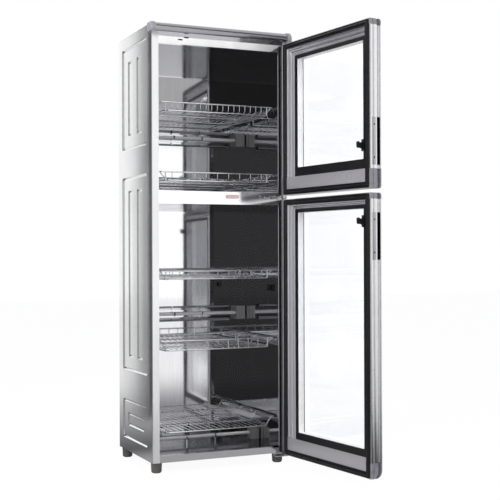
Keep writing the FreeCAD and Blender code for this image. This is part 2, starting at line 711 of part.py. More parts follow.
def ceramic_holders():
    """A ceramic block at each end of each tube, with a socket for the tube and two cooling grooves."""
    blocks = []
    inner = holder_inner_x()
    outer = inner + HOLDER_WIDTH
    for y, z, wall, distance in heater_frames():
        on_back = wall.y > 0
        half = HOLDER_HEIGHT / 2 if on_back else HOLDER_DEPTH / 2
        low = z - half if on_back else z - distance
        high = z + half
        near = y - HOLDER_DEPTH / 2
        body = block(inner, outer, near, near + HOLDER_DEPTH, low, high)
        body = body.cut(rod(Vector(inner, y, z), Vector(inner + TUBE_SOCKET, y, z), TUBE_RADIUS))
        for x in (inner + HOLDER_WIDTH * 0.3, inner + HOLDER_WIDTH * 0.7):
            left, right = x - HOLDER_GROOVE / 2, x + HOLDER_GROOVE / 2
            body = body.cut(block(left, right, near, near + HOLDER_GROOVE, low, high))
        blocks += [body, mirrored(body)]
    return blocks


def heater_clips():
    """Six-sided spring rings round each tube, with a leg to the reflector or the floor."""
    clips = []
    outer = TUBE_RADIUS + CLIP_SHEET
    for y, z, wall, distance in heater_frames():
        seat = distance - (LINER_SHEET if wall.y > 0 else 0)
        for side in (-1, 1):
            x0, x1 = side * CLIP_X - CLIP_WIDTH / 2, side * CLIP_X + CLIP_WIDTH / 2
            loop = wire(Vector(x0, y, z), Vector(x1, y, z), outer)
            half = CLIP_SHEET
            if wall.y > 0:
                leg = block(x0, x1, y, y + seat, z - half, z + half)
            else:
                leg = block(x0, x1, y - half, y + half, z - seat, z)
            bore = wire(Vector(x0, y, z), Vector(x1, y, z), TUBE_RADIUS)
            clips.append(joined([loop, leg]).cut(bore))
    return clips


def heater_reflectors():
    """A bright folded strip behind each wall heater."""
    t = LINER_SHEET
    half, wing = REFLECTOR_STRIP / 2, REFLECTOR_WING
    wall, lip = LINER_BACK, LINER_BACK - REFLECTOR_WING
    length = holder_inner_x() - REFLECTOR_END_GAP
    strips = []
    for z in wall_heater_heights():
        outline = [(wall, z - half), (wall, z + half), (lip, z + half + wing), (lip - t, z + half + wing),
                   (wall - t, z + half - t), (wall - t, z - half + t), (lip - t, z - half - wing),
                   (lip, z - half - wing)]
        strips.append(side_prism(outline, -length, length))
    return strips


# ---------------------------------------------------------------- hinges
def eye_plate(z0, back):
    """A flat hinge plate that reaches forward to a rounded eye with a pin hole."""
    inner = PIN_X - HINGE_PLATE_LENGTH + HINGE_EYE
    z1 = z0 + HINGE_PLATE
    plate = block(inner, PIN_X, PIN_Y - HINGE_EYE, back, z0, z1)
    neck = block(PIN_X, PIN_X + HINGE_EYE, PIN_Y, back, z0, z1)
    eye = rod(Vector(PIN_X, PIN_Y, z0), Vector(PIN_X, PIN_Y, z1), HINGE_EYE)
    return joined([plate, neck, eye])


def pin_hole(shape, z0, z1):
    """The shape with the seat of a hinge pin cut through it."""
    return shape.cut(rod(Vector(PIN_X, PIN_Y, z0), Vector(PIN_X, PIN_Y, z1), PIN_RADIUS + PIN_SEAT_CLEARANCE))


def top_hinge_bracket():
    """A plate screwed flat under the moulding."""
    z0 = MOULDING_BOTTOM - HINGE_PLATE
    return pin_hole(eye_plate(z0, FRONT), z0, MOULDING_BOTTOM)


def middle_hinge_bracket():
    """An angle bracket on the middle rail whose plate carries both doors."""
    z0 = DOOR_GAP_MIDDLE - HINGE_PLATE / 2
    low, high = DOOR_GAP_MIDDLE - MIDDLE_FLANGE_HEIGHT / 2, DOOR_GAP_MIDDLE + MIDDLE_FLANGE_HEIGHT / 2
    left = PIN_X - HINGE_PLATE_LENGTH + HINGE_EYE - MIDDLE_FLANGE_LENGTH
    flange = block(left, STILE_OUTER, FRONT - MIDDLE_FLANGE_SHEET, FRONT, low, high)
    return pin_hole(joined([eye_plate(z0, FRONT), flange]), z0, z0 + HINGE_PLATE)


def bottom_bracket_low():
    """The underside of the lower hinge eye, below the lower door and its bush."""
    return LOWER_DOOR[0] - BUSH_PROUD - RUNNING_GAP - HINGE_PLATE


def bottom_hinge_bracket():
    """A stepped plate under the base tray that drops below the lower door."""
    t = HINGE_PLATE
    low = bottom_bracket_low()
    back, step = FRONT + FLOOR_PLATE_BACK, FRONT + t + RUNNING_GAP
    outline = [(back, -t), (back, 0), (step - t, 0), (step - t, low + t), (PIN_Y, low + t), (PIN_Y, low),
               (step, low), (step, -t)]
    inner = PIN_X - HINGE_PLATE_LENGTH + HINGE_EYE
    strip = side_prism(outline, inner, PIN_X + HINGE_EYE)
    nose = block(inner, PIN_X, PIN_Y - HINGE_EYE, PIN_Y, low, low + t)
    eye = rod(Vector(PIN_X, PIN_Y, low), Vector(PIN_X, PIN_Y, low + t), HINGE_EYE)
    return pin_hole(joined([strip, nose, eye]), low, low + t)


def hinge_pins():
    """The top pin, the through pin between the doors and the bottom pin."""
    spans = ((UPPER_DOOR[1] - PIN_REACH, MOULDING_BOTTOM),
             (LOWER_DOOR[1] - PIN_REACH, UPPER_DOOR[0] + PIN_REACH),
             (bottom_bracket_low(), LOWER_DOOR[0] + PIN_REACH))
    return [rod(Vector(PIN_X, PIN_Y, z0), Vector(PIN_X, PIN_Y, z1), PIN_RADIUS) for z0, z1 in spans]


# ---------------------------------------------------------------- doors
def swung(shape):
    """The shape carried with an open door."""
    turned = shape.copy()
    turned.rotate(Vector(PIN_X, PIN_Y, 0), Vector(0, 0, 1), DOOR_OPEN_ANGLE)
    return turned


def hinge_stile(door):
    """The wide grooved upright on the hinge side, hollow, with a lip for the glass and bush holes."""
    z0, z1 = door
    right, left = DOOR_HALF_WIDTH, HINGE_STILE_EDGE
    back, front = DOOR_INNER, DOOR_OUTER
    g = STILE_GROOVE
    outline = [(right, front), (right, back)]
    for spot in STILE_GROOVE_SPOTS:
        x = right - spot
        outline += [(x + g, back), (x + g / 2, back - g), (x - g / 2, back - g), (x - g, back)]
    lip = left - BEAD_WIDTH
    outline += [(left, back), (left, front + GLASS_LIP), (lip, front + GLASS_LIP), (lip, front)]
    stile = plan_prism(outline, z0, z1)
    w = PROFILE_WALL
    chamber = block(left + w, PIN_X - BUSH_RADIUS - w, front + w, back - w - g, z0, z1)
    holes = [rod(Vector(PIN_X, PIN_Y, z), Vector(PIN_X, PIN_Y, z + BUSH_LENGTH), BUSH_RADIUS)
             for z in (z0, z1 - BUSH_LENGTH)]
    return stile.cut([chamber] + holes)


def handle_outline():
    """The plan section of the handle upright: edge groove, finger channel and front lip."""
    edge = -DOOR_HALF_WIDTH
    right = HANDLE_STILE_EDGE
    lip = right + BEAD_WIDTH
    back = DOOR_INNER
    width, depth = EDGE_GROOVE
    groove = back - width / 2
    channel = back - FINGER_CHANNEL_START
    end = channel - FINGER_CHANNEL_WIDTH
    nose = (HANDLE_FRONT - end) / 2
    return [(right, back), (edge, back), (edge, groove), (edge + depth, groove - width / 4),
            (edge + depth, groove - width), (edge, groove - width * 1.25), (edge, channel),
            (edge + FINGER_CHANNEL_DEPTH, channel), (edge + FINGER_CHANNEL_DEPTH, end), (edge, end),
            (edge, end + nose), (edge - nose, HANDLE_FRONT), (right - BEAD_WIDTH / 2, HANDLE_FRONT),
            (right, DOOR_OUTER), (lip, DOOR_OUTER), (lip, DOOR_OUTER + GLASS_LIP),
            (right, DOOR_OUTER + GLASS_LIP)]


def handle_pocket(span):
    """The finger pocket, deeper than the channel."""
    edge = -DOOR_HALF_WIDTH
    channel = DOOR_INNER - FINGER_CHANNEL_START
    return block(edge, edge + FINGER_POCKET_DEPTH, channel - FINGER_CHANNEL_WIDTH, channel, span[0], span[1])


def handle_stile(door, caps, span):
    """The upright on the free side, between its two end caps, with the finger pocket let in."""
    bar = plan_prism(handle_outline(), door[0] + caps[0], door[1] - caps[1])
    return bar.cut(handle_pocket(span))


def end_caps(door, caps):
    """The moulded ends of the handle upright, rounded at the outer corners."""
    pieces = []
    r = END_CAP_ROUND
    edge = -DOOR_HALF_WIDTH
    reach = HANDLE_STILE_WIDTH + BEAD_WIDTH
    low, high = door
    for z0, z1, outer, way in ((low, low + caps[0], low, 1), (high - caps[1], high, high, -1)):
        centre = Vector(edge, HANDLE_FRONT + r, outer + way * r)
        bottom, top = sorted((outer, centre.z))
        corner = block(edge, edge + reach, HANDLE_FRONT, HANDLE_FRONT + r, bottom, top)
        corner = corner.cut(rod(centre, centre + Vector(reach, 0, 0), r))
        pieces.append(plan_prism(handle_outline(), z0, z1).cut(corner))
    return pieces


def door_rails(door, rails):
    """The bottom and the top rail between the uprights, each with a lip for the glass."""
    right, left = HINGE_STILE_EDGE, HANDLE_STILE_EDGE
    back, front = DOOR_INNER, DOOR_OUTER
    lip_back = front + GLASS_LIP
    w = PROFILE_WALL
    pieces = []
    for low, high, lip_low, lip_high in (
            (door[0], door[0] + rails[0], door[0] + rails[0], door[0] + rails[0] + BEAD_WIDTH),
            (door[1] - rails[1], door[1], door[1] - rails[1] - BEAD_WIDTH, door[1] - rails[1])):
        bar = block(left, right, lip_back, back, low, high)
        bottom, top = min(low, lip_low), max(high, lip_high)
        face = block(left + BEAD_WIDTH, right - BEAD_WIDTH, front, lip_back, bottom, top)
        chamber = block(left, right, lip_back + w, back - w, low + w, high - w)
        pieces.append(joined([bar, face]).cut(chamber))
    return pieces


def door_opening(door, rails):
    """The inner edges of the four frame members, as x0, x1, z0, z1."""
    return HANDLE_STILE_EDGE, HINGE_STILE_EDGE, door[0] + rails[0], door[1] - rails[1]


def door_glass(door, rails):
    """The outer tempered pane, laid against the front lips."""
    x0, x1, z0, z1 = door_opening(door, rails)
    c = GLASS_EDGE_CLEARANCE
    front = DOOR_OUTER + GLASS_LIP
    return block(x0 + c, x1 - c, front, front + GLASS_THICKNESS, z0 + c, z1 - c)


def inner_pane(door, rails, bottom):
    """The second pane, near the door's inner face, let into the bead all round."""
    x0, x1, z0, z1 = door_opening(door, rails)
    reach = BEAD_WIDTH - INNER_PANE_GRIP
    back = DOOR_INNER - INNER_PANE_SET
    return block(x0 + reach, x1 - reach, back - INNER_PANE_THICKNESS, back,
                 z0 + bottom - INNER_PANE_GRIP, z1 - reach)


def glazing_bead(door, rails, bottom):
    """Four mitred strips that hold both panes; the bottom one is wider."""
    x0, x1, z0, z1 = door_opening(door, rails)
    front = DOOR_OUTER + GLASS_LIP + GLASS_THICKNESS
    w = BEAD_WIDTH
    outer = ((x0, z0), (x1, z0), (x1, z1), (x0, z1))
    inner = ((x0 + w, z0 + bottom), (x1 - w, z0 + bottom), (x1 - w, z1 - w), (x0 + w, z1 - w))
    strips = []
    for i in range(len(outer)):
        j = (i + 1) % len(outer)
        corners = [Vector(x, front, z) for x, z in (outer[i], outer[j], inner[j], inner[i])]
        strip = prism(corners, Vector(0, DOOR_INNER - front, 0))
        strips.append(strip.cut(inner_pane(door, rails, bottom)))
    return strips


def gasket(door):
    """The soft magnetic seal round the door's inner face."""
    edge = DOOR_HALF_WIDTH - GASKET_INSET
    return ring(-edge, edge, DOOR_INNER, GASKET_PLANE, door[0] + GASKET_INSET / 2, door[1] - GASKET_INSET / 2,
                GASKET_WIDTH, GASKET_ROUND)


def handle_insert(span):
    """The plate on the door's edge beside the finger pocket, and its two screws."""
    edge = -DOOR_HALF_WIDTH
    start = DOOR_INNER - INSERT_START
    end = start - INSERT_WIDTH
    face = edge - INSERT_THICKNESS
    plate = block(face, edge, end, start, span[0], span[1])
    y = (start + end) / 2
    screws = [rod(Vector(face - SCREW_HEAD, y, z), Vector(face, y, z), SCREW_RADIUS)
              for z in (span[0] + SCREW_MARGIN, span[1] - SCREW_MARGIN)]
    return [plate] + screws


def latch_hook(height):
    """A moulded hook that stands in from the free side and snaps past its catch."""
    width, tall, thick = HOOK_BASE
    x = HANDLE_STILE_EDGE + HOOK_INSET
    start, tip = DOOR_INNER + thick, DOOR_INNER + HOOK_REACH
    base = block(x - width / 2, x + width / 2, DOOR_INNER, start, height - tall / 2, height + tall / 2)
    half, slim = HOOK_HEIGHT / 2, HOOK_HEIGHT / 4
    outline = [(start, height - half), (start + slim, height - slim), (tip - slim, height - slim),
               (tip, height), (tip - slim, height + half + HOOK_NIB), (tip - 2 * slim, height + half),
               (tip - 2 * slim, height + slim), (start + slim, height + slim), (start, height + half)]
    arm = side_prism(outline, x - HOOK_THICKNESS / 2, x + HOOK_THICKNESS / 2)
    return joined([base, arm])


def bushes(door, lower_proud, upper_proud):
    """Bearing bushes in the two ends of the hinge upright, each standing a little proud."""
    bore = PIN_RADIUS + BUSH_CLEARANCE
    spans = ((door[0] - lower_proud, door[0] + BUSH_LENGTH), (door[1] - BUSH_LENGTH, door[1] + upper_proud))
    return [tube(Vector(PIN_X, PIN_Y, z0), Vector(PIN_X, PIN_Y, z1), BUSH_RADIUS, bore) for z0, z1 in spans]


def hook_heights():
    """The heights of the two latch hooks and their catches."""
    return [share_height(chamber, share) for chamber, share in HOOK_SHARES]


# ---------------------------------------------------------------- small fittings
def rail_plug():
    """An oblong cover plug on the middle rail, between the two doors' seals."""
    length, height, proud = PLUG_SIZE
    x, z, half = PLUG_CENTRE_X, DOOR_GAP_MIDDLE, height / 2
    quarters = ((-1, -1), (1, -1), (1, 1), (-1, 1))
    corners = [Vector(x + right * length / 2, FRONT, z + up * half) for right, up in quarters]
    return Part.Face(rounded_wire(corners, half * 0.9)).extrude(Vector(0, -proud, 0))


def thermostat():
    """A small temperature limiter on a plate on the right wall."""
    length, height, thick = THERMOSTAT_PLATE
    radius, reach = THERMOSTAT_CAN
    wall, y, z = LINER_HALF_WIDTH, THERMOSTAT_Y, share_height("lower", THERMOSTAT_SHARE)
    plate = block(wall - thick, wall, y - length / 2, y + length / 2, z - height / 2, z + height / 2)
    can = rod(Vector(wall - thick - reach, y, z), Vector(wall - thick, y, z), radius)
    return joined([plate, can])


def cord_gland():
    """The strain relief bush in the back panel, with its cord bore open."""
    radius, flange = GLAND_FLANGE
    inside = Vector(GLAND_X, BACK - GLAND_LENGTH / 2, GLAND_Z)
    face = Vector(GLAND_X, BACK, GLAND_Z)
    outside = Vector(GLAND_X, BACK + flange, GLAND_Z)
    body = joined([rod(inside, face, GLAND_RADIUS), wire(face, outside, radius)])
    return body.cut(rod(inside, outside, GLAND_BORE))


def door_catches():
    """A catch block for each latch hook, on the left wall."""
    thick, deep, tall = CATCH_SIZE
    wall, front = -LINER_HALF_WIDTH, LINER_FRONT
    spans = [(z - tall / 2, z + tall / 2) for z in hook_heights()]
    return [block(wall, wall + thick, front, front + deep, low, high) for low, high in spans]


# ---------------------------------------------------------------- assembly
def cabinet_nodes():
    """Everything that stays still."""
    left_panel, stile, cap = left_side_panel(), left_stile(), left_moulding_cap()
    return {
        "left_side_panel": left_panel,
        "right_side_panel": mirrored(left_panel),
        "back_panel": back_panel(),
        "top_panel": pan(BODY_HEIGHT - LID_DOWNSTAND, BODY_HEIGHT, False),
        "base_tray": base_tray(),
        "left_stile": stile,
        "right_stile": mirrored(stile),
        "header_rail": header_rail(),
        "middle_rail": rail(-STILE_INNER, STILE_INNER, MIDDLE_RAIL_BOTTOM, MIDDLE_RAIL_TOP, True, True),
        "bottom_rail": bottom_rail(),
        "top_moulding": top_moulding(),
        "moulding_end_caps": [cap, mirrored(cap)],
        "liner_walls": liner_walls(),
        "liner_decks": liner_decks(),
        "rack_runners": rack_runners(),
        "quartz_tubes": quartz_tubes(),
        "heater_coils": heater_coils(),
        "ceramic_holders": ceramic_holders(),
        "heater_clips": heater_clips(),
        "heater_reflectors": heater_reflectors(),
        "top_hinge_bracket": top_hinge_bracket(),
        "middle_hinge_bracket": middle_hinge_bracket(),
        "bottom_hinge_bracket": bottom_hinge_bracket(),
        "hinge_pins": hinge_pins(),
        "feet": feet(),
        "rail_plug": rail_plug(),
        "thermostat": thermostat(),
        "cord_gland": cord_gland(),
        "door_catches": door_catches(),
    }


def rack_nodes():
    """The five pull-out racks."""
    nodes = {}
    for name, floor, rim, pitch in rack_levels():
        nodes[name + "_grid"] = rack_grid(floor)
        nodes[name + "_frame"] = rack_frame(floor, rim, pitch) if pitch else open_rack_frame(floor, rim)
    return nodes


def door_pieces(door, rails, bead, caps, handle, hook, prouds):
    """One closed door's pieces by name. A door and a handle are spans of height."""
    return {
        "hinge_stile": [hinge_stile(door)],
        "handle_stile": [handle_stile(door, caps, handle)],
        "rails": door_rails(door, rails),
        "glass": [door_glass(door, rails), inner_pane(door, rails, bead)],
        "glazing_bead": glazing_bead(door, rails, bead),
        "gasket": [gasket(door)],
        "end_caps": end_caps(door, caps),
        "handle_insert": handle_insert(handle),
        "latch_hook": [latch_hook(hook)],
        "bushes": bushes(door, *prouds),
    }


def door_nodes():
    """Both doors, swung open about the pins."""
    upper_hook, lower_hook = hook_heights()
    upper_handle = (UPPER_DOOR[0] + UPPER_HANDLE_RISE, UPPER_DOOR[0] + UPPER_HANDLE_RISE + HANDLE_LENGTH)
    lower_handle = (LOWER_DOOR[1] - LOWER_HANDLE_DROP - HANDLE_LENGTH, LOWER_DOOR[1] - LOWER_HANDLE_DROP)
    doors = {
        "upper_door": door_pieces(UPPER_DOOR, UPPER_RAILS, UPPER_BOTTOM_BEAD, UPPER_CAPS, upper_handle,
                                  upper_hook, (MIDDLE_BUSH_PROUD, BUSH_PROUD)),
        "lower_door": door_pieces(LOWER_DOOR, LOWER_RAILS, LOWER_BOTTOM_BEAD, LOWER_CAPS, lower_handle,
                                  lower_hook, (BUSH_PROUD, MIDDLE_BUSH_PROUD)),
    }
    nodes = {}
    for name, pieces in doors.items():
        for piece, shapes in pieces.items():
            nodes[name + "_" + piece] = [swung(shape) for shape in shapes]
    return nodes


def write(nodes):
    """One STEP file for each node."""
    os.makedirs("parts", exist_ok=True)
    for name, shape in nodes.items():
        shapes = shape if isinstance(shape, list) else [shape]
        solids = [solid for one in shapes for solid in one.Solids]
        whole = solids[0] if len(solids) == 1 else Part.makeCompound(solids)
        if not whole.isValid():
            print("invalid shape:", name)
        whole.exportStep(os.path.join("parts", name + ".step"))
        print(name, len(solids), "solids,", round(whole.Volume, 1), "mm3")


write(cabinet_nodes())
write(rack_nodes())
write(door_nodes())
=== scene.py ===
"""Looks of a tall two-door dish sterilizer cabinet, dressed over its packed construction."""

import logging
import math
from abc import ABC, abstractmethod
from dataclasses import dataclass, field
from enum import Enum
from functools import cache
from typing import Any, Iterable, Sequence

import bmesh
import bpy
from mathutils import Matrix, Vector


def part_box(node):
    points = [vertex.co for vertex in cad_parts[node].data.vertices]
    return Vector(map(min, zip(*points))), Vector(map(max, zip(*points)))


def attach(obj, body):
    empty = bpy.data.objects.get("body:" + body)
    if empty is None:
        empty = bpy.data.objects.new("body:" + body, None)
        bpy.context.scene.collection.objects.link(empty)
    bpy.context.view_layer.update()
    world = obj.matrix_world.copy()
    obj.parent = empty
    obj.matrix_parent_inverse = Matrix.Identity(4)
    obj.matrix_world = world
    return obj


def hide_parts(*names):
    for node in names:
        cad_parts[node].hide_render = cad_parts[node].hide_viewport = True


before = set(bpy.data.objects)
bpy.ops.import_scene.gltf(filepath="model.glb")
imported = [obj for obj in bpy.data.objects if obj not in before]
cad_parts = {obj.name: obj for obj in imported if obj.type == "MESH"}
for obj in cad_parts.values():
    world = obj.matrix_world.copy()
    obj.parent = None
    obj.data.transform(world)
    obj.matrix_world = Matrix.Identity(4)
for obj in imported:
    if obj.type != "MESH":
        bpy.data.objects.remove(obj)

logging.basicConfig(level=logging.INFO, format="%(message)s")
LOG = logging.getLogger("sterilizer_cabinet")

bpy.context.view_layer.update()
MM = 0.001
MM_PER_METRE = 1000.0
Item = bpy.types.Object
Material = bpy.types.Material
Mesh = bpy.types.Mesh
Node = bpy.types.Node
Socket = bpy.types.NodeSocket
Tree = bpy.types.NodeTree
Colour = tuple[float, float, float, float]
Point = tuple[float, float, float]
Flat = tuple[float, float]
Route = tuple[list[Point], bool]

# Settings and sockets that many nodes share. A colour Mix node is linked by these socket numbers.
TIMES = {"operation": "MULTIPLY"}
TIMES_PLUS = {"operation": "MULTIPLY_ADD"}
LARGER = {"operation": "MAXIMUM"}
SMALLER = {"operation": "MINIMUM"}
IN_COLOUR = {"data_type": "RGBA"}
MIX_SHARE, MIX_FIRST, MIX_SECOND = 0, 6, 7
WHITE: Colour = (1.0, 1.0, 1.0, 1.0)
# Most of a noise pattern's values lie between these two.
NOISE_LOW, NOISE_HIGH = 0.3, 0.7


def linear(hex_colour: str) -> Colour:
    """Turn an sRGB hex colour into linear values.

    Args:
        hex_colour: six hex digits after a hash.

    Returns:
        The linear red, green and blue, with full alpha.
    """
    parts = [int(hex_colour[i:i + 2], 16) / 255.0 for i in (1, 3, 5)]
    values = [p / 12.92 if p <= 0.04045 else ((p + 0.055) / 1.055) ** 2.4 for p in parts]
    return (values[0], values[1], values[2], 1.0)


def add_node(
    tree: Tree,
    kind: str,
    settings: dict[str, Any] | None = None,
    inputs: dict[str | int, Any] | None = None,
) -> Node:
    """Add one node, set it up and link what feeds it.

    Args:
        tree: the shader or geometry tree.
        kind: the node's type name.
        settings: attributes of the node.
        inputs: by input name or number, a value, an output socket, or a node for its first live output.

    Returns:
        The new node.
    """
    node = tree.nodes.new(kind)
    for name, value in (settings or {}).items():
        setattr(node, name, value)
    for name, value in (inputs or {}).items():
        if isinstance(value, Node):
            value = next(socket for socket in value.outputs if socket.enabled)
        if isinstance(value, Socket):
            tree.links.new(value, node.inputs[name])
        else:
            node.inputs[name].default_value = value
    return node


# ---------------------------------------------------------------- finishes
class Grain(Enum):
    """The way the lines of a brushed or drawn surface run: how fast the pattern changes on each axis."""

    ALONG_X = (0.03, 1.0, 1.0)
    ALONG_Y = (1.0, 0.03, 1.0)
    ALONG_Z = (1.0, 1.0, 0.03)


def blank_material(name: str) -> tuple[Material, Tree]:
    """Make an empty node material.

    Args:
        name: the real material and how its surface was made.

    Returns:
        The material and its emptied tree.
    """
    material = bpy.data.materials.new(name)
    material.use_nodes = True
    tree = material.node_tree
    tree.nodes.clear()
    return material, tree


def place(tree: Tree, scale: Sequence[float]) -> Socket:
    """The object's own coordinates in metres, stretched.

    Args:
        tree: the shader tree.
        scale: how many pattern units go into a metre on each axis.

    Returns:
        The vector socket.
    """
    coordinates = add_node(tree, "ShaderNodeTexCoord")
    mapping = add_node(tree, "ShaderNodeMapping", None, {
        "Vector": coordinates.outputs["Object"], "Scale": tuple(scale)})
    return mapping.outputs["Vector"]


def noise(tree: Tree, scale: Sequence[float], detail: float = 2.0) -> Socket:
    """A noise pattern in metres.

    Args:
        tree: the shader tree.
        scale: cells to the metre on each axis.
        detail: octaves.

    Returns:
        The value socket, 0 to 1.
    """
    node = add_node(tree, "ShaderNodeTexNoise", None, {
        "Vector": place(tree, scale), "Scale": 1.0, "Detail": detail})
    return node.outputs["Fac"]


def span(tree: Tree, value: Socket, low: float, high: float) -> Socket:
    """Spread a noise value over a range.

    Args:
        tree: the shader tree.
        value: a pattern centred on one half.
        low: what its dark parts become.
        high: what its bright parts become.

    Returns:
        The new value.
    """
    node = add_node(tree, "ShaderNodeMapRange", None, {
        "Value": value, "From Min": NOISE_LOW, "From Max": NOISE_HIGH, "To Min": low, "To Max": high})
    return node.outputs["Result"]


def tinted(tree: Tree, value: Socket, first: str, second: str) -> Socket:
    """Two colours, mixed by a pattern.

    Args:
        tree: the shader tree.
        value: the pattern.
        first: hex colour at its dark parts.
        second: hex colour at its bright parts.

    Returns:
        The colour socket.
    """
    node = add_node(tree, "ShaderNodeMix", IN_COLOUR, {
        MIX_SHARE: span(tree, value, 0.0, 1.0), MIX_FIRST: linear(first), MIX_SECOND: linear(second)})
    return next(socket for socket in node.outputs if socket.enabled)


def bumped(tree: Tree, height: Socket, depth_mm: float, below: Socket | None = None) -> Socket:
    """Surface relief from a pattern.

    Args:
        tree: the shader tree.
        height: the pattern.
        depth_mm: its depth from low to high.
        below: a coarser relief that it lies on.

    Returns:
        The normal socket.
    """
    inputs: dict[str | int, Any] = {"Height": height, "Distance": depth_mm * MM, "Strength": 1.0}
    if below is not None:
        inputs["Normal"] = below
    return add_node(tree, "ShaderNodeBump", None, inputs).outputs["Normal"]


def finish_with(tree: Tree, inputs: dict[str | int, Any]) -> None:
    """Close a material with one surface shader.

    Args:
        tree: the shader tree.
        inputs: the shader's values and patterns.
    """
    shader = add_node(tree, "ShaderNodeBsdfPrincipled", None, inputs)
    add_node(tree, "ShaderNodeOutputMaterial", None, {"Surface": shader})


@dataclass(frozen=True)
class DrawnMetal:
    """Rolled, brushed or drawn metal: long fine lines, slow smears, and a slow unevenness of the sheet.

    The smears and the unevenness are as wide as a hand or wider, as rolling and wiping leave them.
    """

    name: str
    dark: str
    light: str
    roughness: tuple[float, float]
    grain: Grain
    line_mm: float = 0.6
    line_depth_mm: float = 0.004
    sway_mm: float = 0.05
    sway_length_mm: float = 220.0
    metallic: float = 1.0
    smear_per_metre: tuple[float, float, float] = (9.0, 9.0, 4.0)

    def make(self) -> Material:
        """Build the material.

        Returns:
            The finished material.
        """
        material, tree = blank_material(self.name)
        rate = MM_PER_METRE / self.line_mm
        lines = noise(tree, [rate * share for share in self.grain.value], 3.0)
        sway = noise(tree, [MM_PER_METRE / self.sway_length_mm] * 3, 1.0)
        smear = noise(tree, self.smear_per_metre, 3.0)
        colour = tinted(tree, lines, self.dark, self.light)
        slow = bumped(tree, sway, self.sway_mm)
        finish_with(tree, {
            "Base Color": colour,
            "Metallic": self.metallic,
            "Roughness": span(tree, smear, *self.roughness),
            "Normal": bumped(tree, lines, self.line_depth_mm, slow),
        })
        return material


@dataclass(frozen=True)
class MouldedPlastic:
    """Injection-moulded or extruded plastic: fine spark texture and a soft change of tone."""

    name: str
    dark: str
    light: str
    roughness: tuple[float, float]
    texture_mm: float = 0.9
    depth_mm: float = 0.02
    coat: float = 0.0
    coat_roughness: float = 0.2
    tone_per_metre: float = 22.0

    def make(self) -> Material:
        """Build the material.

        Returns:
            The finished material.
        """
        material, tree = blank_material(self.name)
        spark = noise(tree, [MM_PER_METRE / self.texture_mm] * 3, 2.0)
        tone = noise(tree, [self.tone_per_metre] * 3, 3.0)
        finish_with(tree, {
            "Base Color": tinted(tree, tone, self.dark, self.light),
            "Roughness": span(tree, tone, *self.roughness),
            "Coat Weight": self.coat,
            "Coat Roughness": self.coat_roughness,
            "Normal": bumped(tree, spark, self.depth_mm),
        })
        return material


@dataclass(frozen=True)
class ClearGlass:
    """Float glass or fused quartz: a faint tint, and a face that waves by hundredths of a millimetre."""

    name: str
    tint: str
    clear: str
    wave_mm: float
    roughness: float = 0.0
    ior: float = 1.45
    clearness: float = 1.0
    wave_per_metre: tuple[float, float, float] = (7.0, 7.0, 2.5)
    film_per_metre: float = 2.2

    def make(self) -> Material:
        """Build the material.

        Returns:
            The finished material.
        """
        material, tree = blank_material(self.name)
        wave = noise(tree, self.wave_per_metre, 1.0)
        film = noise(tree, [self.film_per_metre] * 3, 1.0)
        finish_with(tree, {
            "Base Color": tinted(tree, film, self.tint, self.clear),
            "Transmission Weight": self.clearness,
            "Roughness": self.roughness,
            "IOR": self.ior,
            "Normal": bumped(tree, wave, self.wave_mm),
        })
        return material


# Satin-rolled stainless sheet: long vertical lines that blur what it mirrors into soft bands.
SIDE_SHEET = DrawnMetal(
    "stainless_sheet_satin_rolled", "#e8e9ea", "#f4f4f5", (0.15, 0.20), Grain.ALONG_Z,
    line_mm=0.8, sway_mm=0.08)
# Zinc-coated sheet under a grey baked coat: duller than the sides, with a faint mottle.
BACK_SHEET = DrawnMetal(
    "galvanised_sheet_baked_grey", "#8d8f91", "#9a9c9e", (0.45, 0.55), Grain.ALONG_Z,
    line_mm=2.5, metallic=0.6)
# The free-side stile of the folded front frame: a lit copy of the frame sheet, near white and less
# mirror-like, so that it takes the side light broadly; its near-white colour is painted light.
STILE_SHEET_LIT_COPY = DrawnMetal(
    "stainless_stile_painted_lit", "#f8f8f9", "#ffffff", (0.26, 0.34), Grain.ALONG_Z,
    line_mm=0.7, sway_mm=0.02, metallic=0.8)
# The hinge-side stile: a shaded copy of the same frame sheet, darker and smoother; it mirrors the dark seal
# of the door beside it, and its darker colour is painted shade.
STILE_SHEET_SHADED_COPY = DrawnMetal(
    "stainless_stile_painted_shade", "#dcdddf", "#e8e9eb", (0.07, 0.11), Grain.ALONG_Z,
    line_mm=0.7, line_depth_mm=0.0006, sway_mm=0.01)
# The frame's rails, finely ground along their length: they mirror what stands before them, a little blurred.
RAIL_SHEET = DrawnMetal(
    "stainless_rail_belt_ground", "#f2f2f4", "#fafafb", (0.08, 0.12), Grain.ALONG_X,
    line_mm=0.9, line_depth_mm=0.0006, sway_mm=0.01)
# Mirror-polished stainless lining: it doubles the racks, with a slow ripple in the sheet. The polishing
# lines are a tenth of a millimetre apart and are drawn at 4 mm, or they wouldn't show.
LINER_SHEET = DrawnMetal(
    "stainless_lining_mirror_polished", "#e8e8eb", "#f0f0f3", (0.035, 0.055), Grain.ALONG_Z,
    line_mm=4.0, line_depth_mm=0.001, sway_mm=0.25, sway_length_mm=260.0)
# The decks of the same lining, in a darker copy: they mirror the racks darkly, and their dark colour is
# painted shade.
DECK_SHADE_COPY = DrawnMetal(
    "stainless_deck_painted_shade", "#6f7074", "#7d7e82", (0.09, 0.15), Grain.ALONG_X,
    line_mm=1.5, line_depth_mm=0.001, sway_mm=0.12)
# Extruded, etched and anodised aluminium: a grey silver with fine die lines along the bar.
DOOR_PROFILE = DrawnMetal(
    "aluminium_profile_anodised", "#dedde2", "#eae9ee", (0.12, 0.18), Grain.ALONG_Z,
    line_mm=0.9, line_depth_mm=0.001, sway_mm=0.02, metallic=0.68)
# The handle bar in the same alloy, buffed before anodising, so its ribs carry bright bands.
HANDLE_PROFILE = DrawnMetal(
    "aluminium_handle_buffed_anodised", "#e9e9ec", "#f4f4f6", (0.14, 0.22), Grain.ALONG_Z, line_mm=0.9)
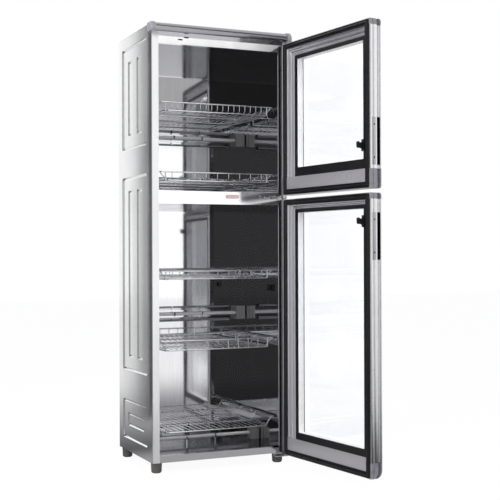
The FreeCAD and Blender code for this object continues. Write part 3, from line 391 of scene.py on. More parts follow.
# The flat plate along a door's foot in the same alloy, duller, in a darker copy of its colour that is painted
# shade.
FOOT_PLATE_SHADE_COPY = DrawnMetal(
    "aluminium_foot_plate_painted_shade", "#c0bec3", "#cecccf", (0.26, 0.34), Grain.ALONG_X,
    line_mm=0.9, line_depth_mm=0.001, sway_mm=0.02, metallic=0.6)
# The top rail's face, the same alloy as the hinge bar it is mitred to but smoother: it mirrors the dark
# chamber along its ribs, and its darker copy of the colour is painted shade.
UPPER_RAIL_SHADE_COPY = DrawnMetal(
    "aluminium_top_rail_painted_shade", "#bebcc2", "#cccacf", (0.12, 0.18), Grain.ALONG_X,
    line_mm=0.9, line_depth_mm=0.001, sway_mm=0.02, metallic=0.8)
# The insert plate beside the finger pocket: the same alloy brushed, a tone darker than the bar round it.
INSERT_PLATE = DrawnMetal(
    "aluminium_plate_brushed_anodised", "#b4b3b7", "#c2c1c5", (0.22, 0.30), Grain.ALONG_Z,
    line_mm=0.9, metallic=0.8)
# Casing screws in bright zinc, the doors' in black oxide; the cross recess is coloured near black as painted
# shade.
SCREW_ZINC = DrawnMetal(
    "steel_screw_zinc_plated", "#c0c1c4", "#d4d5d8", (0.18, 0.28), Grain.ALONG_X, line_mm=1.2)
SCREW_BLACK = DrawnMetal(
    "steel_screw_black_oxide", "#2a292c", "#363538", (0.30, 0.42), Grain.ALONG_X, line_mm=1.2)
RECESS_SHADE = DrawnMetal(
    "steel_recess_painted_shade", "#121213", "#1c1c1e", (0.45, 0.60), Grain.ALONG_X, line_mm=1.2)
# Clear-anodised moulding along the top: a dark satin band that catches one long highlight.
MOULDING = DrawnMetal(
    "aluminium_moulding_satin_anodised", "#9c9ba1", "#a8a7ad", (0.12, 0.17), Grain.ALONG_X,
    line_mm=0.9, line_depth_mm=0.0006, sway_mm=0.01)
# Zinc-plated pressed steel: cool and slightly milky, uneven enough to break what it mirrors into glints.
HINGE_PLATE = DrawnMetal(
    "steel_plate_zinc_plated", "#d0d1d4", "#e2e3e6", (0.10, 0.18), Grain.ALONG_X,
    line_mm=2.2, sway_mm=0.7, sway_length_mm=12.0)
# Drawn wire with bright nickel-chrome plating: small sharp highlights along each bar.
CHROME_WIRE = DrawnMetal(
    "steel_wire_chrome_plated", "#eeeff1", "#f8f8fa", (0.08, 0.16), Grain.ALONG_X, line_mm=3.0, sway_mm=0.0)
# Wound resistance wire, oxidised by its own heat: brown grey and dull.
COIL_WIRE = DrawnMetal("nichrome_wire_oxidised", "#6f6a66", "#837c76", (0.50, 0.65), Grain.ALONG_X)
# Silver-filled ABS mouldings: a metal-like fleck under a low sheen.
SILVER_ABS = MouldedPlastic("abs_silver_filled_moulded", "#88888d", "#96969b", (0.26, 0.36), coat=0.4)
# Spacer bars between a door's two panes, in white plastic so that the gap reads light.
SPACER_BAR = MouldedPlastic("styrenic_spacer_extruded_white", "#fafafc", "#ffffff", (0.30, 0.40))
# The handle bar's end caps in a greyer fill of the same ABS.
CAP_ABS = MouldedPlastic("abs_grey_filled_moulded", "#7c7b80", "#8a898e", (0.24, 0.34), coat=0.5)
# Black ABS with a fine spark texture, for the small door fittings.
BLACK_ABS = MouldedPlastic("abs_black_spark_textured", "#0f0e11", "#17161a", (0.42, 0.54))
# Extruded PVC seal: black with a waxy bloom, so its rib shows as a grey line.
SEAL_PVC = MouldedPlastic("pvc_seal_extruded_black", "#0d0c0f", "#151318", (0.26, 0.38), texture_mm=1.4)
# Glass-filled nylon feet: warm dark grey with a matt skin.
FOOT_NYLON = MouldedPlastic("nylon_glass_filled_moulded", "#4b4946", "#5c5a56", (0.50, 0.62), depth_mm=0.05)
# Acetal bushes: off-white and slightly waxy.
BUSH_ACETAL = MouldedPlastic("acetal_turned_white", "#dddcd7", "#e9e8e4", (0.30, 0.40))
# Pressed steatite heater holders in mid grey: chalky, with tiny pits.
STEATITE = MouldedPlastic(
    "steatite_pressed_unglazed", "#7e7d7e", "#8d8c8d", (0.60, 0.75), texture_mm=1.8, depth_mm=0.06)
# Pinkish plug moulding over the wire way in the middle rail.
PLUG_PLASTIC = MouldedPlastic("pvc_plug_moulded_rose_grey", "#c2a9a6", "#cfb9b5", (0.35, 0.45))
# Tempered float glass with a faint blue body tint.
DOOR_GLASS = ClearGlass("float_glass_tempered", "#fafbff", "#ffffff", 0.02)
# Milky fused quartz: drawn sand with fine gas threads, so the tube glows pale over the coil inside.
QUARTZ = ClearGlass("quartz_tube_fused_milky", "#f0f0f2", "#fafafb", 0.05, roughness=0.12, clearness=0.6)


@dataclass(frozen=True)
class Dressing:
    """Which finish each kept construction node gets."""

    cabinet: tuple[tuple[str, Any], ...] = (
        ("left_side_panel", SIDE_SHEET), ("right_side_panel", SIDE_SHEET), ("back_panel", BACK_SHEET),
        # The two stiles take a lit copy and a shaded copy of the same sheet: painted light and painted shade.
        ("top_panel", SIDE_SHEET), ("base_tray", BACK_SHEET), ("left_stile", STILE_SHEET_LIT_COPY),
        ("right_stile", STILE_SHEET_SHADED_COPY), ("header_rail", RAIL_SHEET), ("middle_rail", RAIL_SHEET),
        ("bottom_rail", RAIL_SHEET), ("top_moulding", MOULDING), ("moulding_end_caps", SILVER_ABS),
        # The decks take a darker copy of the lining: painted shade.
        ("liner_walls", LINER_SHEET), ("liner_decks", DECK_SHADE_COPY), ("rack_runners", LINER_SHEET),
        ("quartz_tubes", QUARTZ), ("heater_coils", COIL_WIRE), ("ceramic_holders", STEATITE),
        ("heater_clips", LINER_SHEET), ("heater_reflectors", LINER_SHEET),
        ("top_hinge_bracket", HINGE_PLATE), ("middle_hinge_bracket", HINGE_PLATE),
        ("bottom_hinge_bracket", HINGE_PLATE), ("hinge_pins", HINGE_PLATE), ("feet", FOOT_NYLON),
        ("rail_plug", PLUG_PLASTIC), ("thermostat", BLACK_ABS), ("cord_gland", BLACK_ABS),
        ("door_catches", BLACK_ABS),
    )
    door: tuple[tuple[str, Any], ...] = (
        ("hinge_stile", DOOR_PROFILE), ("handle_stile", DOOR_PROFILE), ("rails", FOOT_PLATE_SHADE_COPY),
        ("glass", DOOR_GLASS), ("glazing_bead", BLACK_ABS), ("gasket", SEAL_PVC), ("end_caps", SILVER_ABS),
        ("handle_insert", BLACK_ABS), ("latch_hook", BLACK_ABS), ("bushes", BUSH_ACETAL),
    )
    rack: tuple[tuple[str, Any], ...] = (("grid", CHROME_WIRE), ("frame", CHROME_WIRE))
    doors: tuple[str, ...] = ("upper_door", "lower_door")
    racks: tuple[str, ...] = (
        "glass_rack", "upper_plate_rack", "lower_plate_rack", "bowl_rack", "bottom_rack")

    def by_node(self) -> dict[str, Any]:
        """Every node's finish.

        Returns:
            The finishes by the nodes' full names.
        """
        table = dict(self.cabinet)
        for group, parts in ((self.doors, self.door), (self.racks, self.rack)):
            for owner in group:
                table.update({f"{owner}_{part}": finish for part, finish in parts})
        return table


class Workshop:
    """Makes each finish once and hands it out."""

    def __init__(self) -> None:
        """Start with no materials made."""
        self.made: dict[str, Material] = {}

    def material(self, finish: Any) -> Material:
        """The material of a finish.

        Args:
            finish: one of the finishes above.

        Returns:
            Its material, made on first use.
        """
        if finish.name not in self.made:
            self.made[finish.name] = finish.make()
        return self.made[finish.name]

    def dress(self, item: Item, finish: Any) -> None:
        """Give an object one finish in place of what it has.

        Args:
            item: the object.
            finish: its finish.
        """
        material = self.material(finish)
        if not item.material_slots:
            item.data.materials.append(material)
        for slot in item.material_slots:
            slot.material = material


# ---------------------------------------------------------------- studio
@dataclass(frozen=True)
class Softbox:
    """A square soft lamp that metal doesn't mirror. Places and size in metres, power in watts."""

    name: str
    at: Point
    aim: Point
    size: float
    power: float

    def hang(self) -> None:
        """Put the lamp in the scene, turned towards what it lights."""
        data = bpy.data.lights.new(self.name, "AREA")
        data.size = self.size
        data.energy = self.power
        lamp = bpy.data.objects.new(self.name, data)
        lamp.location = self.at
        lamp.visible_glossy = False
        lamp.rotation_euler = (Vector(self.aim) - Vector(self.at)).to_track_quat("-Z", "Y").to_euler()
        bpy.context.scene.collection.objects.link(lamp)


@dataclass(frozen=True)
class Rays:
    """The light path's node, and two flags made from it."""

    path: Node
    straight: Node
    mirrored: Node


@dataclass
class Studio:
    """The floor, the light and the camera. Places in metres, levels as shares of white.

    The camera sees plain white all round. What metal and glass mirror is a room: dark at the left, a white
    card between two black ones in front of the doors, and pale at the right and behind.
    """

    floor_z: float = -0.037
    floor_reach: float = 14.0
    floor_glow: float = 1.02
    floor_shown: float = 0.93
    floor_fleck_per_metre: float = 60.0
    floor_roughness: float = 0.9
    focal_mm: float = 76.68
    sensor_mm: float = 36.0
    camera_at: Point = (-1.488, -3.766, 0.7385)
    heading_deg: float = -24.23
    roll_deg: float = -0.19
    rise: float = 0.009
    dome_tint: str = "#f6f7ff"
    dome_strength: float = 0.55
    # The room's stops go once round, from behind by the left, the front and the right: place and level.
    room: tuple[tuple[float, float], ...] = (
        (0.0, 0.93), (0.12, 0.93), (0.17, 0.3), (0.33, 0.3), (0.36, 0.8), (0.405, 0.8), (0.415, 0.03),
        (0.49, 0.03), (0.497, 1.0), (0.568, 1.0), (0.573, 0.05), (0.60, 0.05), (0.61, 0.8), (0.85, 0.8),
        (1.0, 0.93),
    )
    card_strength: float = 1.25
    # A dim band hangs over the front at both sides of the card, between two heights and two bearings.
    band_level: float = 0.34
    band_low_deg: float = 6.3
    band_low_soft_deg: float = 0.8
    band_high_deg: float = 10.6
    band_high_soft_deg: float = 0.3
    band_from_deg: float = 15.5
    band_to_deg: float = 33.0
    pane_gain: float = 0.24
    pane_loss: float = 0.45
    # The mirrored floor is grey by the object, and takes the room's levels further out.
    near_tone: Point = (0.34, 0.34, 0.35)
    near_from: float = 0.85
    near_to: float = 1.1
    floor_near: float = 0.7
    floor_far: float = 3.0
    # Darker mats cross the mirrored floor from side to side: how far back each stop lies, and its level.
    mats: tuple[tuple[float, float], ...] = (
        (-2.2, 1.0), (-1.6, 0.6), (-0.95, 0.6), (-0.8, 1.0), (0.1, 1.0), (0.3, 0.3), (0.95, 1.0))
    mats_from: float = -2.5
    mats_to: float = 1.5
    flag: tuple[Point, ...] = (
        (-2.4, 0.94, -0.03), (-0.585, 0.94, -0.03), (-0.59, 0.94, 2.6), (-2.4, 0.94, 2.6))
    flag_weave_per_metre: float = 300.0
    flag_roughness: float = 0.95
    lamps: tuple[Softbox, ...] = (
        Softbox("left_softbox", (-3.2, -1.2, 2.4), (0.0, 0.0, 0.8), 2.4, 95.0),
        Softbox("front_softbox", (0.8, -3.8, 2.9), (0.0, 0.0, 0.8), 2.0, 55.0),
    )

    def build(self) -> None:
        """Set up everything that isn't the object."""
        bpy.context.scene.view_settings.view_transform = "Standard"
        self.place_camera()
        self.fill_world()
        self.lay_floor()
        self.stand_flag()
        for lamp in self.lamps:
            lamp.hang()
        LOG.info("set up the studio with %d lamps", len(self.lamps))

    def place_camera(self) -> None:
        """Put the camera at half the cabinet's height, in front of its left corner."""
        data = bpy.data.cameras.new("camera")
        data.lens = self.focal_mm
        data.sensor_width = self.sensor_mm
        data.shift_y = self.rise
        camera = bpy.data.objects.new("camera", data)
        bpy.context.scene.collection.objects.link(camera)
        camera.location = self.camera_at
        heading = Matrix.Rotation(math.radians(self.heading_deg), 4, "Z")
        level = heading @ Matrix.Rotation(math.pi / 2, 4, "X")
        turned = level @ Matrix.Rotation(math.radians(self.roll_deg), 4, "Z")
        camera.rotation_euler = turned.to_euler()
        bpy.context.scene.camera = camera

    def rays(self, tree: Tree) -> Rays:
        """Tell rays that carry a picture of the studio from those that light the object.

        Args:
            tree: the world's or the floor's tree.

        Returns:
            The light path, the flag for rays seen straight, in metal or through glass, and the flag for
            those of them that metal or glass has mirrored.
        """
        path = add_node(tree, "ShaderNodeLightPath")
        bounced = add_node(tree, "ShaderNodeMath", SMALLER, {0: path.outputs["Glossy Depth"], 1: 1.0})
        through = add_node(tree, "ShaderNodeMath", LARGER, {
            0: path.outputs["Is Glossy Ray"], 1: path.outputs["Is Transmission Ray"]})
        mirrored = add_node(tree, "ShaderNodeMath", TIMES, {0: bounced, 1: through})
        straight = add_node(tree, "ShaderNodeMath", LARGER, {0: path.outputs["Is Camera Ray"], 1: through})
        return Rays(path, straight, mirrored)

    def room_around(self, tree: Tree, place_name: str) -> tuple[Node, ...]:
        """The room's level by bearing.

        Args:
            tree: the world's or the floor's tree.
            place_name: which coordinate the bearing is taken from.

        Returns:
            The coordinates' node, their three parts, the bearing from straight in front, and the room's ramp.
        """
        where = add_node(tree, "ShaderNodeTexCoord")
        parts = add_node(tree, "ShaderNodeSeparateXYZ", None, {0: where.outputs[place_name]})
        front = add_node(tree, "ShaderNodeMath", TIMES, {0: parts.outputs["Y"], 1: -1.0})
        bearing = add_node(tree, "ShaderNodeMath", {"operation": "ARCTAN2"}, {
            0: parts.outputs["X"], 1: front})
        turn = add_node(tree, "ShaderNodeMapRange", None, {
            "Value": bearing, "From Min": -math.pi, "From Max": math.pi})
        room = add_node(tree, "ShaderNodeValToRGB", None, {0: turn})
        self.paint(room.color_ramp, self.room)
        return where, parts, bearing, room

    def paint(self, ramp: bpy.types.ColorRamp, stops: Sequence[tuple[float, float]]) -> None:
        """Set a ramp's stops.

        Args:
            ramp: the ramp.
            stops: each stop's place and its grey level.
        """
        while len(ramp.elements) < len(stops):
            ramp.elements.new(0.5)
        for element, (at, level) in zip(ramp.elements, stops):
            element.position = at
            element.color = (level, level, level, 1.0)

    def band(self, tree: Tree, height: Socket, bearing: Node) -> Node:
        """The dim band over the front.

        Args:
            tree: the world's tree.
            height: the upward part of the direction.
            bearing: the bearing from straight in front.

        Returns:
            The share of the room's level that is left.
        """
        below, above = (
            add_node(tree, "ShaderNodeMapRange", None, {
                "Value": height, "From Min": math.sin(math.radians(middle - soft)),
                "From Max": math.sin(math.radians(middle + soft)), "To Min": low, "To Max": high})
            for middle, soft, low, high in (
                (self.band_low_deg, self.band_low_soft_deg, 1.0, self.band_level),
                (self.band_high_deg, self.band_high_soft_deg, 0.0, 1.0)))
        outside = add_node(tree, "ShaderNodeMath", LARGER, {0: below, 1: above})
        middle = (self.band_from_deg + self.band_to_deg) / 2
        reach = (self.band_to_deg - self.band_from_deg) / 2
        right, left = (
            add_node(tree, "ShaderNodeMath", {"operation": "COMPARE"}, {
                0: bearing, 1: math.radians(middle * way), 2: math.radians(reach)})
            for way in (1, -1))
        beside = add_node(tree, "ShaderNodeMath", LARGER, {0: right, 1: left})
        return add_node(tree, "ShaderNodeMix", {"data_type": "FLOAT"}, {0: beside, 2: 1.0, 3: outside})

    def fill_world(self) -> None:
        """White for the camera, the room for metal and glass, and a soft even dome for the light."""
        world = bpy.data.worlds.new("studio")
        bpy.context.scene.world = world
        world.use_nodes = True
        tree = world.node_tree
        tree.nodes.clear()
        rays = self.rays(tree)
        _, parts, bearing, room = self.room_around(tree, "Generated")
        shade = self.band(tree, parts.outputs["Z"], bearing)
        through_pane = rays.path.outputs["Is Transmission Ray"]
        loss = add_node(tree, "ShaderNodeMath", TIMES, {0: through_pane, 1: self.pane_loss})
        clear = add_node(tree, "ShaderNodeMath", {"operation": "SUBTRACT"}, {0: 1.0, 1: loss})
        shaded = add_node(tree, "ShaderNodeMath", TIMES, {0: shade, 1: clear})
        level = add_node(tree, "ShaderNodeMath", TIMES, {0: shaded, 1: self.card_strength})
        gain = add_node(tree, "ShaderNodeMath", TIMES_PLUS, {0: through_pane, 1: self.pane_gain, 2: 1.0})
        seen = add_node(tree, "ShaderNodeBackground", None, {"Color": WHITE, "Strength": gain})
        mirrored = add_node(tree, "ShaderNodeBackground", None, {"Color": room, "Strength": level})
        dome = add_node(tree, "ShaderNodeBackground", None, {
            "Color": linear(self.dome_tint), "Strength": self.dome_strength})
        plain = add_node(tree, "ShaderNodeMixShader", None, {0: rays.straight, 1: dome, 2: seen})
        whole = add_node(tree, "ShaderNodeMixShader", None, {0: rays.mirrored, 1: plain, 2: mirrored})
        add_node(tree, "ShaderNodeOutputWorld", None, {"Surface": whole})

    def floor_tone(self, tree: Tree) -> Node:
        """What metal mirrors of the floor: grey near the object with its mats, and the room's level far out.

        Args:
            tree: the floor's tree.

        Returns:
            The node that gives the colour.
        """
        where, parts, _, room = self.room_around(tree, "Object")
        away = add_node(tree, "ShaderNodeVectorMath", {"operation": "LENGTH"}, {0: where.outputs["Object"]})
        fall = add_node(tree, "ShaderNodeMapRange", {"interpolation_type": "SMOOTHSTEP"}, {
            "Value": away, "From Min": self.floor_near, "From Max": self.floor_far})
        capped = add_node(tree, "ShaderNodeVectorMath", SMALLER, {0: room, 1: self.near_tone})
        beyond = add_node(tree, "ShaderNodeMapRange", None, {
            "Value": away, "From Min": self.near_from, "From Max": self.near_to})
        near = add_node(tree, "ShaderNodeMix", IN_COLOUR, {
            MIX_SHARE: beyond, MIX_FIRST: (*self.near_tone, 1.0), MIX_SECOND: capped})
        along = add_node(tree, "ShaderNodeMapRange", None, {
            "Value": parts.outputs["Y"], "From Min": self.mats_from, "From Max": self.mats_to})
        mats = add_node(tree, "ShaderNodeValToRGB", None, {0: along})
        length = self.mats_to - self.mats_from
        self.paint(mats.color_ramp, [((y - self.mats_from) / length, level) for y, level in self.mats])
        laid = add_node(tree, "ShaderNodeVectorMath", TIMES, {0: near, 1: mats})
        return add_node(tree, "ShaderNodeMix", IN_COLOUR, {
            MIX_SHARE: fall, MIX_FIRST: laid, MIX_SECOND: room})

    def lay_floor(self) -> None:
        """A wide pale floor that keeps the object's soft shadow."""
        material, tree = blank_material("studio_floor_paper")
        rays = self.rays(tree)
        fleck = noise(tree, [self.floor_fleck_per_metre] * 3, 2.0)
        paper = add_node(tree, "ShaderNodeBsdfPrincipled", None, {
            "Base Color": tinted(tree, fleck, "#fbfbfb", "#ffffff"), "Roughness": self.floor_roughness})
        light = add_node(tree, "ShaderNodeMath", TIMES_PLUS, {
            0: rays.path.outputs["Is Transmission Ray"], 1: self.pane_gain, 2: self.floor_glow})
        glow = add_node(tree, "ShaderNodeEmission", None, {"Color": WHITE, "Strength": light})
        shown = add_node(tree, "ShaderNodeMath", TIMES, {0: rays.straight, 1: self.floor_shown})
        plain = add_node(tree, "ShaderNodeMixShader", None, {0: shown, 1: paper, 2: glow})
        dim = add_node(tree, "ShaderNodeEmission", None, {"Color": self.floor_tone(tree), "Strength": 1.0})
        whole = add_node(tree, "ShaderNodeMixShader", None, {0: rays.mirrored, 1: plain, 2: dim})
        add_node(tree, "ShaderNodeOutputMaterial", None, {"Surface": whole})
        reach = self.floor_reach
        self.stand("floor", [(x, y, self.floor_z) for x, y in (
            (-reach, -reach), (reach, -reach), (reach, reach), (-reach, reach))], material)

    def stand(self, name: str, corners: Sequence[Point], material: Material) -> Item:
        """Put one flat face of the studio in the scene.

        Args:
            name: what it is.
            corners: its corners in turn.
            material: its finish.

        Returns:
            The new object.
        """
        mesh = bpy.data.meshes.new(name)
        mesh.from_pydata(corners, [], [tuple(range(len(corners)))])
        mesh.materials.append(material)
        item = bpy.data.objects.new(f"studio_{name}", mesh)
        bpy.context.scene.collection.objects.link(item)
        return item

    def stand_flag(self) -> None:
        """A grey card behind the left side, unseen by the camera, that shades the sheet towards its front."""
        material, tree = blank_material("studio_flag_cloth")
        weave = noise(tree, [self.flag_weave_per_metre] * 3, 2.0)
        finish_with(tree, {
            "Base Color": tinted(tree, weave, "#464646", "#505050"), "Roughness": self.flag_roughness})
        flag = self.stand("flag", self.flag, material)
        flag.visible_camera = False
        flag.visible_shadow = False
        flag.visible_diffuse = False
        flag.visible_transmission = False


# ---------------------------------------------------------------- mesh tools
# A corner this near to straight, in radians, isn't rounded. A rounding takes at most this share of an edge
# and is left out below this length in mm.
STRAIGHT, LONGEST_CUT, SHORTEST_CUT = 0.02, 0.48, 1e-4
# Points nearer than this, in metres, are one, and edges shorter than the second are dropped.
SAME_POINT, NO_EDGE = 2e-6, 1e-6
# A block's rounding takes at most this share of a side, and its upright edges keep this radius in mm.
BLOCK_SHARE, LEAST_RADIUS = 0.45, 0.05


def arc(cx: float, cy: float, r: float, start: float, end: float, steps: int) -> list[Flat]:
    """Points on an arc.

    Args:
        cx: centre across.
        cy: centre up.
        r: radius.
        start: first angle in degrees.
        end: last angle in degrees.
        steps: how many chords.

    Returns:
        The points, both ends included.
    """
    turns = [math.radians(start + (end - start) * i / steps) for i in range(steps + 1)]
    return [(cx + r * math.cos(a), cy + r * math.sin(a)) for a in turns]


def softened(outline: Sequence[tuple[float, ...]], radius: float, steps: int = 4) -> list[Flat]:
    """A closed outline with its corners rounded.

    Args:
        outline: corners as (u, v), or (u, v, r) where a corner has a radius of its own.
        radius: the radius of the others.
        steps: chords in each corner.

    Returns:
        The rounded outline.
    """
    points: list[Flat] = []
    count = len(outline)
    for i, corner in enumerate(outline):
        here = Vector(corner[:2])
        before = Vector(outline[i - 1][:2]) - here
        after = Vector(outline[(i + 1) % count][:2]) - here
        r = corner[2] if len(corner) > 2 else radius
        half = before.angle(after, math.pi) / 2
        reach = r / math.tan(half) if STRAIGHT < half < math.pi / 2 - STRAIGHT else 0.0
        reach = min(reach, before.length * LONGEST_CUT, after.length * LONGEST_CUT)
        if r <= 0.0 or reach < SHORTEST_CUT:
            points.append((here.x, here.y))
            continue
        enter, leave = here + before.normalized() * reach, here + after.normalized() * reach
        for k in range(steps + 1):
            t = k / steps
            spot = enter * (1 - t) ** 2 + here * 2 * t * (1 - t) + leave * t ** 2
            points.append((spot.x, spot.y))
    return points


class MeshMaker:
    """Collects rings and faces in millimetres and turns them into one finished object."""

    def __init__(self) -> None:
        """Start with nothing."""
        self.points: list[Point] = []
        self.faces: list[tuple[int, ...]] = []

    def add(self, points: Iterable[Point], faces: Iterable[Sequence[int]]) -> None:
        """Add points and the faces on them.

        Args:
            points: the new points.
            faces: their numbers, counted from the first new point.
        """
        base = len(self.points)
        self.points.extend(points)
        self.faces.extend(tuple(base + i for i in face) for face in faces)

    def loft(self, rings: Sequence[Sequence[Point]], round_trip: bool = False) -> None:
        """Skin a run of closed rings.

        Args:
            rings: rings of the same length.
            round_trip: join the last ring to the first, or else close both ends.
        """
        size = len(rings[0])
        faces: list[Sequence[int]] = []
        for i in range(len(rings) if round_trip else len(rings) - 1):
            a, b = i * size, (i + 1) % len(rings) * size
            for k in range(size):
                n = (k + 1) % size
                faces.append((a + k, a + n, b + n, b + k))
        if not round_trip:
            faces.append(tuple(range(size)))
            faces.append(tuple((len(rings) - 1) * size + k for k in range(size)))
        self.add([point for ring in rings for point in ring], faces)

    def soft_block(self, low: Point, high: Point, radius: float) -> None:
        """Add a block with rounded upright and level edges.

        Args:
            low: its lowest corner.
            high: its highest corner.
            radius: the edges' radius.
        """
        (x0, y0, z0), (x1, y1, z1) = low, high
        r = min(radius, (x1 - x0) * BLOCK_SHARE, (y1 - y0) * BLOCK_SHARE, (z1 - z0) * BLOCK_SHARE)
        rings = []
        for angle in (0.0, 30.0, 60.0, 90.0):
            inset, lift = r * (1 - math.sin(math.radians(angle))), r * (1 - math.cos(math.radians(angle)))
            rings.append((inset, z0 + lift))
        rings += [(inset, z0 + z1 - z) for inset, z in reversed(rings)]
        loops = []
        for inset, z in rings:
            left, right, near, far = x0 + inset, x1 - inset, y0 + inset, y1 - inset
            corners = [(left, near), (right, near), (right, far), (left, far)]
            upright = max(r - inset, LEAST_RADIUS) + LEAST_RADIUS
            loops.append([(x, y, z) for x, y in softened(corners, upright, 3)])
        self.loft(loops)

    def finish(
        self, name: str, material: Material, turn: Matrix | None = None, crease_deg: float = 32.0
    ) -> Item:
        """Make the object, in metres and in its place.

        Args:
            name: the piece's name.
            material: its finish.
            turn: a placement in metres that is put into the mesh.
            crease_deg: edges that turn more than this stay crisp.

        Returns:
            The new object.
        """
        mesh = bpy.data.meshes.new(name)
        mesh.from_pydata([(x * MM, y * MM, z * MM) for x, y, z in self.points], [], self.faces)
        work = bmesh.new()
        work.from_mesh(mesh)
        bmesh.ops.remove_doubles(work, verts=work.verts, dist=SAME_POINT)
        bmesh.ops.dissolve_degenerate(work, edges=work.edges, dist=NO_EDGE)
        if turn is not None:
            bmesh.ops.transform(work, matrix=turn, verts=work.verts)
        bmesh.ops.recalc_face_normals(work, faces=work.faces)
        work.to_mesh(mesh)
        work.free()
        return finished(mesh, name, material, crease_deg)


def finished(mesh: Mesh, name: str, material: Material | None, crease_deg: float = 32.0) -> Item:
    """Shade a mesh and put it in the scene.

    Args:
        mesh: the final mesh.
        name: the piece's name.
        material: its finish, or nothing where the mesh has one.
        crease_deg: edges that turn more than this stay crisp.

    Returns:
        The new object.
    """
    mesh.polygons.foreach_set("use_smooth", [True] * len(mesh.polygons))
    mesh.set_sharp_from_angle(angle=math.radians(crease_deg))
    if material is not None:
        mesh.materials.clear()
        mesh.materials.append(material)
    item = bpy.data.objects.new(name, mesh)
    bpy.context.scene.collection.objects.link(item)
    return item


def hand_over(item: Item, body: str, slot: str, *nodes: str) -> None:
    """Put a piece on the body that carries it and hide the construction nodes it stands for.

    Args:
        item: the piece.
        body: the body that carries it.
        slot: the material slot. Not used.
        nodes: the construction nodes it replaces.
    """
    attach(item, body)
    if nodes:
        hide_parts(*nodes)
    LOG.info("built %s on %s, %d faces", item.name, body, len(item.data.polygons))


# ---------------------------------------------------------------- geometry trees
# A coil's chords in one turn, and the sides of its wire.
COIL_CHORDS, COIL_SIDES = 9, 5
# A pan head's sides. Its crown and a slot's width are shares of its radius, and a slot's depth and how high
# its middle lies are shares of its height.
HEAD_SIDES, CROWN, SLOT_WIDTH, SLOT_DEPTH, SLOT_MIDDLE = 18, 0.72, 0.22, 0.6, 0.74


def geometry_tree(name: str, inputs: Sequence[tuple[str, str, Any]]) -> tuple[Tree, Node]:
    """Start a geometry tree with named inputs.

    Args:
        name: the tree's name.
        inputs: each input's name, socket type and default.

    Returns:
        The tree and its input node.
    """
    tree = bpy.data.node_groups.new(name, "GeometryNodeTree")
    tree.interface.new_socket("Geometry", in_out="INPUT", socket_type="NodeSocketGeometry")
    tree.interface.new_socket("Geometry", in_out="OUTPUT", socket_type="NodeSocketGeometry")
    for label, kind, default in inputs:
        socket = tree.interface.new_socket(label, in_out="INPUT", socket_type=kind)
        if default is not None:
            socket.default_value = default
    return tree, add_node(tree, "NodeGroupInput")


def close_tree(tree: Tree, shape: Node, finish: Socket | None = None) -> None:
    """End a tree: make its instances real and give them their material.

    Args:
        tree: the geometry tree.
        shape: the node that gives the whole shape.
        finish: the material, or nothing where the shape's parts have theirs.
    """
    last = add_node(tree, "GeometryNodeRealizeInstances", None, {0: shape})
    if finish is not None:
        last = add_node(tree, "GeometryNodeSetMaterial", None, {"Geometry": last, "Material": finish})
    add_node(tree, "NodeGroupOutput", None, {0: last})


def grown(source: Item, tree: Tree, values: dict[str, Any], name: str) -> Mesh:
    """Run a geometry tree on an object and keep the plain mesh.

    Args:
        source: the curve or point object, which is removed.
        tree: the tree.
        values: its inputs by name.
        name: the new mesh's name.

    Returns:
        The plain mesh.
    """
    modifier = source.modifiers.new("grow", "NODES")
    modifier.node_group = tree
    for socket in tree.interface.items_tree:
        if socket.in_out == "INPUT" and socket.name in values:
            modifier[socket.identifier] = values[socket.name]
    bpy.context.view_layer.update()
    graph = bpy.context.evaluated_depsgraph_get()
    mesh = bpy.data.meshes.new_from_object(source.evaluated_get(graph), depsgraph=graph)
    mesh.name = name
    source.modifiers.remove(modifier)
    bpy.data.objects.remove(source)
    return mesh


def swept_wire(tree: Tree, route: Node, radius: Socket, sides: Socket | int) -> Node:
    """A round wire along a route, with closed ends.

    Args:
        tree: the geometry tree.
        route: the curve's node.
        radius: the wire's radius.
        sides: how many sides the wire has.

    Returns:
        The mesh's node.
    """
    section = add_node(tree, "GeometryNodeCurvePrimitiveCircle", {"mode": "RADIUS"}, {
        "Resolution": sides, "Radius": radius})
    return add_node(tree, "GeometryNodeCurveToMesh", None, {
        "Curve": route, "Profile Curve": section, "Fill Caps": True})


@cache
def wire_tree() -> Tree:
    """A tree that rounds a route's corners and sweeps a round wire along it.

    Returns:
        The tree. Its radii are in metres.
    """
    tree, given = geometry_tree("bent_wire", (
        ("Wire radius", "NodeSocketFloat", 0.0015), ("Bend radius", "NodeSocketFloat", 0.01),
        ("Sides", "NodeSocketInt", 10), ("Bend steps", "NodeSocketInt", 5),
        ("Finish", "NodeSocketMaterial", None),
    ))
    bent = add_node(tree, "GeometryNodeFilletCurve", {"mode": "POLY"}, {
        "Curve": given.outputs["Geometry"], "Radius": given.outputs["Bend radius"],
        "Count": given.outputs["Bend steps"], "Limit Radius": True})
    swept = swept_wire(tree, bent, given.outputs["Wire radius"], given.outputs["Sides"])
    close_tree(tree, swept, given.outputs["Finish"])
    return tree


def coil_tree() -> Tree:
    """A tree that winds a helix of round wire and lays one from every point along +X.

    Returns:
        The tree. Its radii and its length are in metres.
    """
    tree, given = geometry_tree("wound_coil", (
        ("Coil radius", "NodeSocketFloat", 0.003), ("Wire radius", "NodeSocketFloat", 0.0004),
        ("Length", "NodeSocketFloat", 0.4), ("Turns", "NodeSocketFloat", 60.0),
        ("Finish", "NodeSocketMaterial", None),
    ))
    helix = add_node(tree, "GeometryNodeCurveSpiral", None, {
        "Resolution": COIL_CHORDS, "Rotations": given.outputs["Turns"], "Height": given.outputs["Length"],
        "Start Radius": given.outputs["Coil radius"], "End Radius": given.outputs["Coil radius"]})
    swept = swept_wire(tree, helix, given.outputs["Wire radius"], COIL_SIDES)
    laid = add_node(tree, "GeometryNodeInstanceOnPoints", None, {
        "Points": given.outputs["Geometry"], "Instance": swept, "Rotation": (0.0, math.pi / 2, 0.0)})
    close_tree(tree, laid, given.outputs["Finish"])
    return tree


